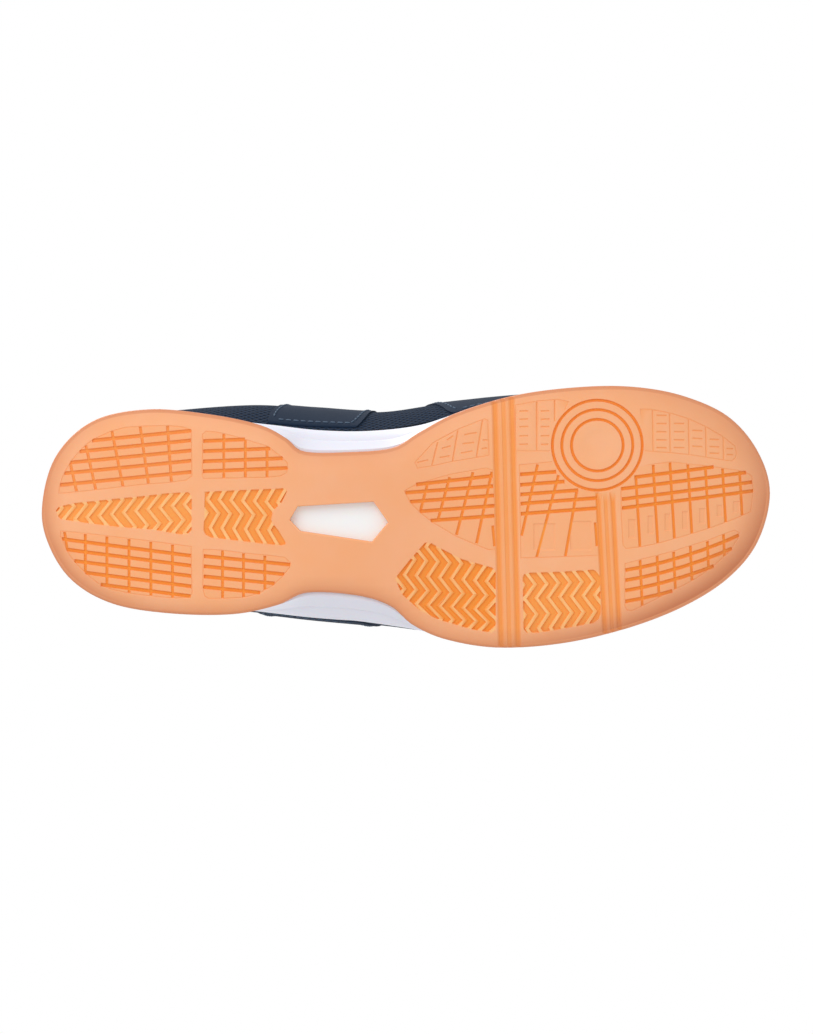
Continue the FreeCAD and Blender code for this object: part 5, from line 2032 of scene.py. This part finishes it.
@dataclass
class Studio:
    """Camera under the sole, soft white light all round, and a pale floor that shows only from above."""

    distance: float = 3200.0
    tilt: float = 2.0
    frame_height: float = 416.2
    sensor: float = 36.0
    sky: float = 0.8
    floor_half: float = 3000.0
    floor_drop: float = 0.3

    def build(self) -> None:
        """Make the camera, the world, the lamps and the floor."""
        self.camera()
        self.world()
        self.lamps()
        self.floor()

    def camera(self) -> None:
        """Camera that looks straight up at the tread with the toe on the right, leaning to the inner side."""
        data = bpy.data.cameras.new("camera")
        data.sensor_width = self.sensor
        data.lens = self.sensor * self.distance / self.frame_height
        data.clip_end = 50
        camera = link(bpy.data.objects.new("camera", data))
        lean = math.radians(self.tilt)
        place = Vector((0, -math.sin(lean), -math.cos(lean)))
        back = place.normalized()
        up = Vector((0, -math.cos(lean), math.sin(lean)))
        right = up.cross(back)
        turn = Matrix((right, up, back)).transposed().to_4x4()
        camera.matrix_world = Matrix.Translation(place * self.distance * MM) @ turn
        bpy.context.scene.camera = camera

    def world(self) -> None:
        """White surroundings that light the shoe a little less than they show."""
        scene = bpy.context.scene
        scene.view_settings.view_transform = "Standard"
        scene.world = bpy.data.worlds.new("white_studio")
        scene.world.use_nodes = True
        nodes, links = scene.world.node_tree.nodes, scene.world.node_tree.links
        path = nodes.new("ShaderNodeLightPath")
        strength = nodes.new("ShaderNodeMapRange")
        strength.inputs["To Min"].default_value, strength.inputs["To Max"].default_value = self.sky, 1.0
        links.new(path.outputs["Is Camera Ray"], strength.inputs["Value"])
        nodes["Background"].inputs["Color"].default_value = (1, 1, 1, 1)
        links.new(strength.outputs["Result"], nodes["Background"].inputs["Strength"])

    def lamps(self) -> None:
        """Three soft panels: one low on the inner side under the tread, two above."""
        for name, place, size, power in (
                ("panel_under", (-0.5, -0.75, -0.9), 0.9, 5.0),
                ("panel_key", (-0.7, -1.0, 1.3), 0.8, 16.0),
                ("panel_fill", (1.0, 0.9, 1.0), 1.0, 8.0)):
            data = bpy.data.lights.new(name, "AREA")
            data.size, data.energy = size, power
            lamp = link(bpy.data.objects.new(name, data))
            lamp.location = place
            lamp.rotation_mode = "QUATERNION"
            lamp.rotation_quaternion = Vector(place).to_track_quat("Z", "Y")

    def floor(self) -> None:
        """Pale floor under the shoe, see-through from below and casting no shadow."""
        corners = [(x * self.floor_half, y * self.floor_half, -self.floor_drop)
                   for x, y in ((-1, -1), (1, -1), (1, 1), (-1, 1))]
        floor = make_mesh("floor", np.array(corners), [(0, 1, 2, 3)])
        t = Tree("floor_matt_paint")
        geometry = t.add("ShaderNodeNewGeometry")
        clear = t.add("ShaderNodeBsdfTransparent")
        grain = t.add("ShaderNodeTexNoise", {"Scale": 120.0, "Detail": 3.0})
        tone = t.add("ShaderNodeMapRange", {"Value": grain.outputs["Fac"], "To Min": 0.80, "To Max": 0.84})
        t.links.new(tone.outputs["Result"], t.shader.inputs["Base Color"])
        t.feed(t.shader, {"Roughness": 0.8})
        mix = t.add("ShaderNodeMixShader", {0: geometry.outputs["Backfacing"], 1: t.shader.outputs[0],
                                           2: clear.outputs[0]})
        t.links.new(mix.outputs[0], t.nodes["Material Output"].inputs["Surface"])
        floor.data.materials.append(t.material)
        floor.visible_shadow = floor.visible_diffuse = floor.visible_glossy = False


# ---------------------------------------------------------------- the shoe

class Finishes:
    """Every finish of the shoe, each made once."""

    def __init__(self) -> None:
        """Make the materials."""
        # gum rubber: the warm peach and orange of the whole tread
        self.rubber = GumRubber().make()
        # compression moulded EVA: clean white with a faint blue cast, satin
        self.foam = MouldedFoam("eva_foam_white", "e9e9f4").make()
        # moulded plastic plate: white, painted brighter and bluer than the foam to cancel the shade and the
        # rubber's orange light down in the window; smoother than the foam
        self.plate = MouldedFoam("shank_plate_white", "f8fdff", roughness=0.4, pebble_mm=0.5).make()
        # spacer mesh: dull navy, its rows of holes painted dark with shade
        self.mesh = Cloth("spacer_mesh_navy", "1b2d44", "070d18", Weave.MESH, 2.2, 0.5, roughness=0.95,
                          sheen=0.02, gloss=0.1).make()
        # fine knit over foam: greyer than the mesh
        self.lining = Cloth("lining_knit_navy", "202c39", "121a23", Weave.KNIT, 1.4, roughness=0.95,
                            sheen=0.04).make()
        # knit of the insole: mid grey, the lightest cloth inside the shoe
        self.sockliner = Cloth("sockliner_knit_grey", "4b5663", "2b333d", Weave.KNIT, 1.5).make()
        # finer mesh than the upper's: dull navy
        self.tongue = Cloth("tongue_mesh_navy", "1f2e40", "0b121d", Weave.MESH, 2.0, 0.35, roughness=0.95,
                            sheen=0.02).make()
        # tubular woven polyester: bright white, with grey shade painted along its slanting weave
        self.lace = Cloth("lace_tubular_white", "eceef2", "a9afba", Weave.TWILL, 1.3, 0.3).make()
        # fleece board: warm off-white, hidden under the sockliner
        self.board = Cloth("lasting_board_fleece", "d9d6cf", "b5b1a8", Weave.PLAIN, 1.2).make()
        # coated microfibre: smooth dark navy next to the mesh
        self.overlay = Synthetic("microfibre_navy", "14253a", roughness=0.8, gloss=0.14).make()
        # sewing thread: slate, so that each stitch shows
        self.thread = Synthetic("thread_slate", "4d5f74", roughness=0.7).make()
        # covering of the heel counter and toe puff: plain matt navy
        self.stiffener = Synthetic("stiffener_covering_navy", "1e2a36", roughness=0.9).make()
        # clear tips of the lace: pale and glossy
        self.tip = Plastic("aglet_clear_film", "dfe3e8", 0.2).make()
        # eyelet rims: near black, satin
        self.eyelet = Plastic("eyelet_rim_dark", "1a2029", 0.35).make()
        # twill tape of the heel loop: slate, lighter than the upper
        self.webbing = Cloth("webbing_slate", "46566a", "2a3644", Weave.TWILL, 1.6, 0.3).make()
        # film of the accent: a pale grey green fleck
        self.accent = Synthetic("accent_pale_film", "b9c6b4", roughness=0.4).make()


def build_sole(finishes: Finishes) -> None:
    """Build what lies under the foot.

    Args:
        finishes: The shoe's materials.
    """
    settle(Outsole().build(), finishes.rubber, None, ("outsole_rear", "outsole_forefoot"))
    settle(Midsole().build(), finishes.foam, None, ("midsole_rear", "midsole_forefoot"))
    settle(Sockliner().build(), finishes.sockliner, None,
           ("sockliner_rear", "sockliner_forefoot"))


def build_upper(finishes: Finishes) -> None:
    """Build the shell, the overlays stitched on it, and the stitches.

    Args:
        finishes: The shoe's materials.
    """
    settle(Shell().build(), [finishes.mesh, finishes.lining], None,
           ("quarter_medial", "quarter_lateral", "toe_box", "vamp_flex_band"))
    patches = [
        (Overlay("heel_cap_microfibre", 21.3, 26.7, 0.02, 0.42, arch=0.1), "shoe_rear", "heel_cap"),
        (Overlay("toe_guard_microfibre", 9.2, 14.8, 0.015, 0.3, arch=0.12, columns=90), "forefoot", "toe_guard"),
        (Overlay("eyestay_inner", 5.0, 11.95, 0.7, 0.985, columns=90), None, "eyestay_medial"),
        (Overlay("eyestay_outer", 12.05, 19.0, 0.7, 0.985, columns=90), None, "eyestay_lateral"),
        (Overlay("side_panel_inner", 4.15, 5.65, 0.015, 0.72, lean_low=0, lean_high=0.7), "shoe_rear",
         "side_panel_medial"),
        (Overlay("side_panel_outer", 18.2, 19.9, 0.015, 0.72, lean_low=0, lean_high=-0.8), "shoe_rear",
         "side_panel_lateral"),
        (Overlay("ball_panel_inner", 7.0, 8.5, 0.015, 0.36, lean_low=0, lean_high=-0.3, arch=0.06), None, None),
        (Overlay("ball_panel_outer", 15.5, 17.0, 0.015, 0.36, lean_low=0, lean_high=0.3, arch=0.06), None, None),
    ]
    seams: dict[str | None, list[tuple[np.ndarray, bool]]] = {}
    for patch, body, node in patches:
        settle(patch.build(), finishes.overlay, body, (node,) if node else ())
        seams.setdefault(body, []).append((patch.seam(0.09), True))
    for body, lines in seams.items():
        settle(Stitching(f"stitches_{body or 'flex'}").build(lines), finishes.thread, body)


def build_padding(finishes: Finishes) -> None:
    """Build the collar, the tongue with its binding, the heel loop and the accent.

    Args:
        finishes: The shoe's materials.
    """
    collar = settle(Collar().build(), finishes.lining, "shoe_rear",
                    ("collar_foam", "collar_lining"))
    tongue = settle(Tongue().build(), finishes.tongue, "tongue", ("tongue",))
    border = Tongue().face(0.5, 0.2)
    line = np.vstack([border[8:, 0], border[-1, 1:-1], border[8:, -1][::-1]])
    settle(tube("tongue_binding", line, (1.5, 1.9)), finishes.lining, "tongue")
    settle(PullTab().build(), finishes.webbing, "shoe_rear")
    accent = Overlay("accent_strip", 5.86, 5.94, 0.42, 0.62, inside=1.45, thickness=0.5, columns=8)
    settle(accent.build(), finishes.accent, "shoe_rear")


def build_lacing(finishes: Finishes) -> None:
    """Build the lace and its eyelets.

    Args:
        finishes: The shoe's materials.
    """
    lacing = Lacing()
    settle(lacing.build_lace(), finishes.lace, "shoe_rear", ("lace",))
    for name, mirrored in (("eyelets_inner", False), ("eyelets_outer", True)):
        settle(lacing.build_eyelets(name, mirrored), finishes.eyelet, "shoe_rear")


def dress_nodes(nodes: dict[str, bpy.types.Object], finishes: Finishes) -> None:
    """Give the CAD nodes that stay their finishes.

    Args:
        nodes: The frame's nodes by name.
        finishes: The shoe's materials.
    """
    for names, finish in ((("shank_plate",), finishes.plate),
                          (("lasting_board_rear", "lasting_board_forefoot"), finishes.board),
                          (("heel_counter", "toe_puff"), finishes.stiffener), (("aglets",), finishes.tip)):
        for name in names:
            nodes[name].data.materials.clear()
            nodes[name].data.materials.append(finish)
            log.info("%s: carried over", name)


def main() -> None:
    """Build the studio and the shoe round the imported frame."""
    logging.basicConfig(level=logging.INFO, format="%(message)s")
    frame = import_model()
    Studio().build()
    finishes = Finishes()
    build_sole(finishes)
    build_upper(finishes)
    build_padding(finishes)
    build_lacing(finishes)
    dress_nodes(frame["nodes"], finishes)


if __name__ == "__main__":
    main()
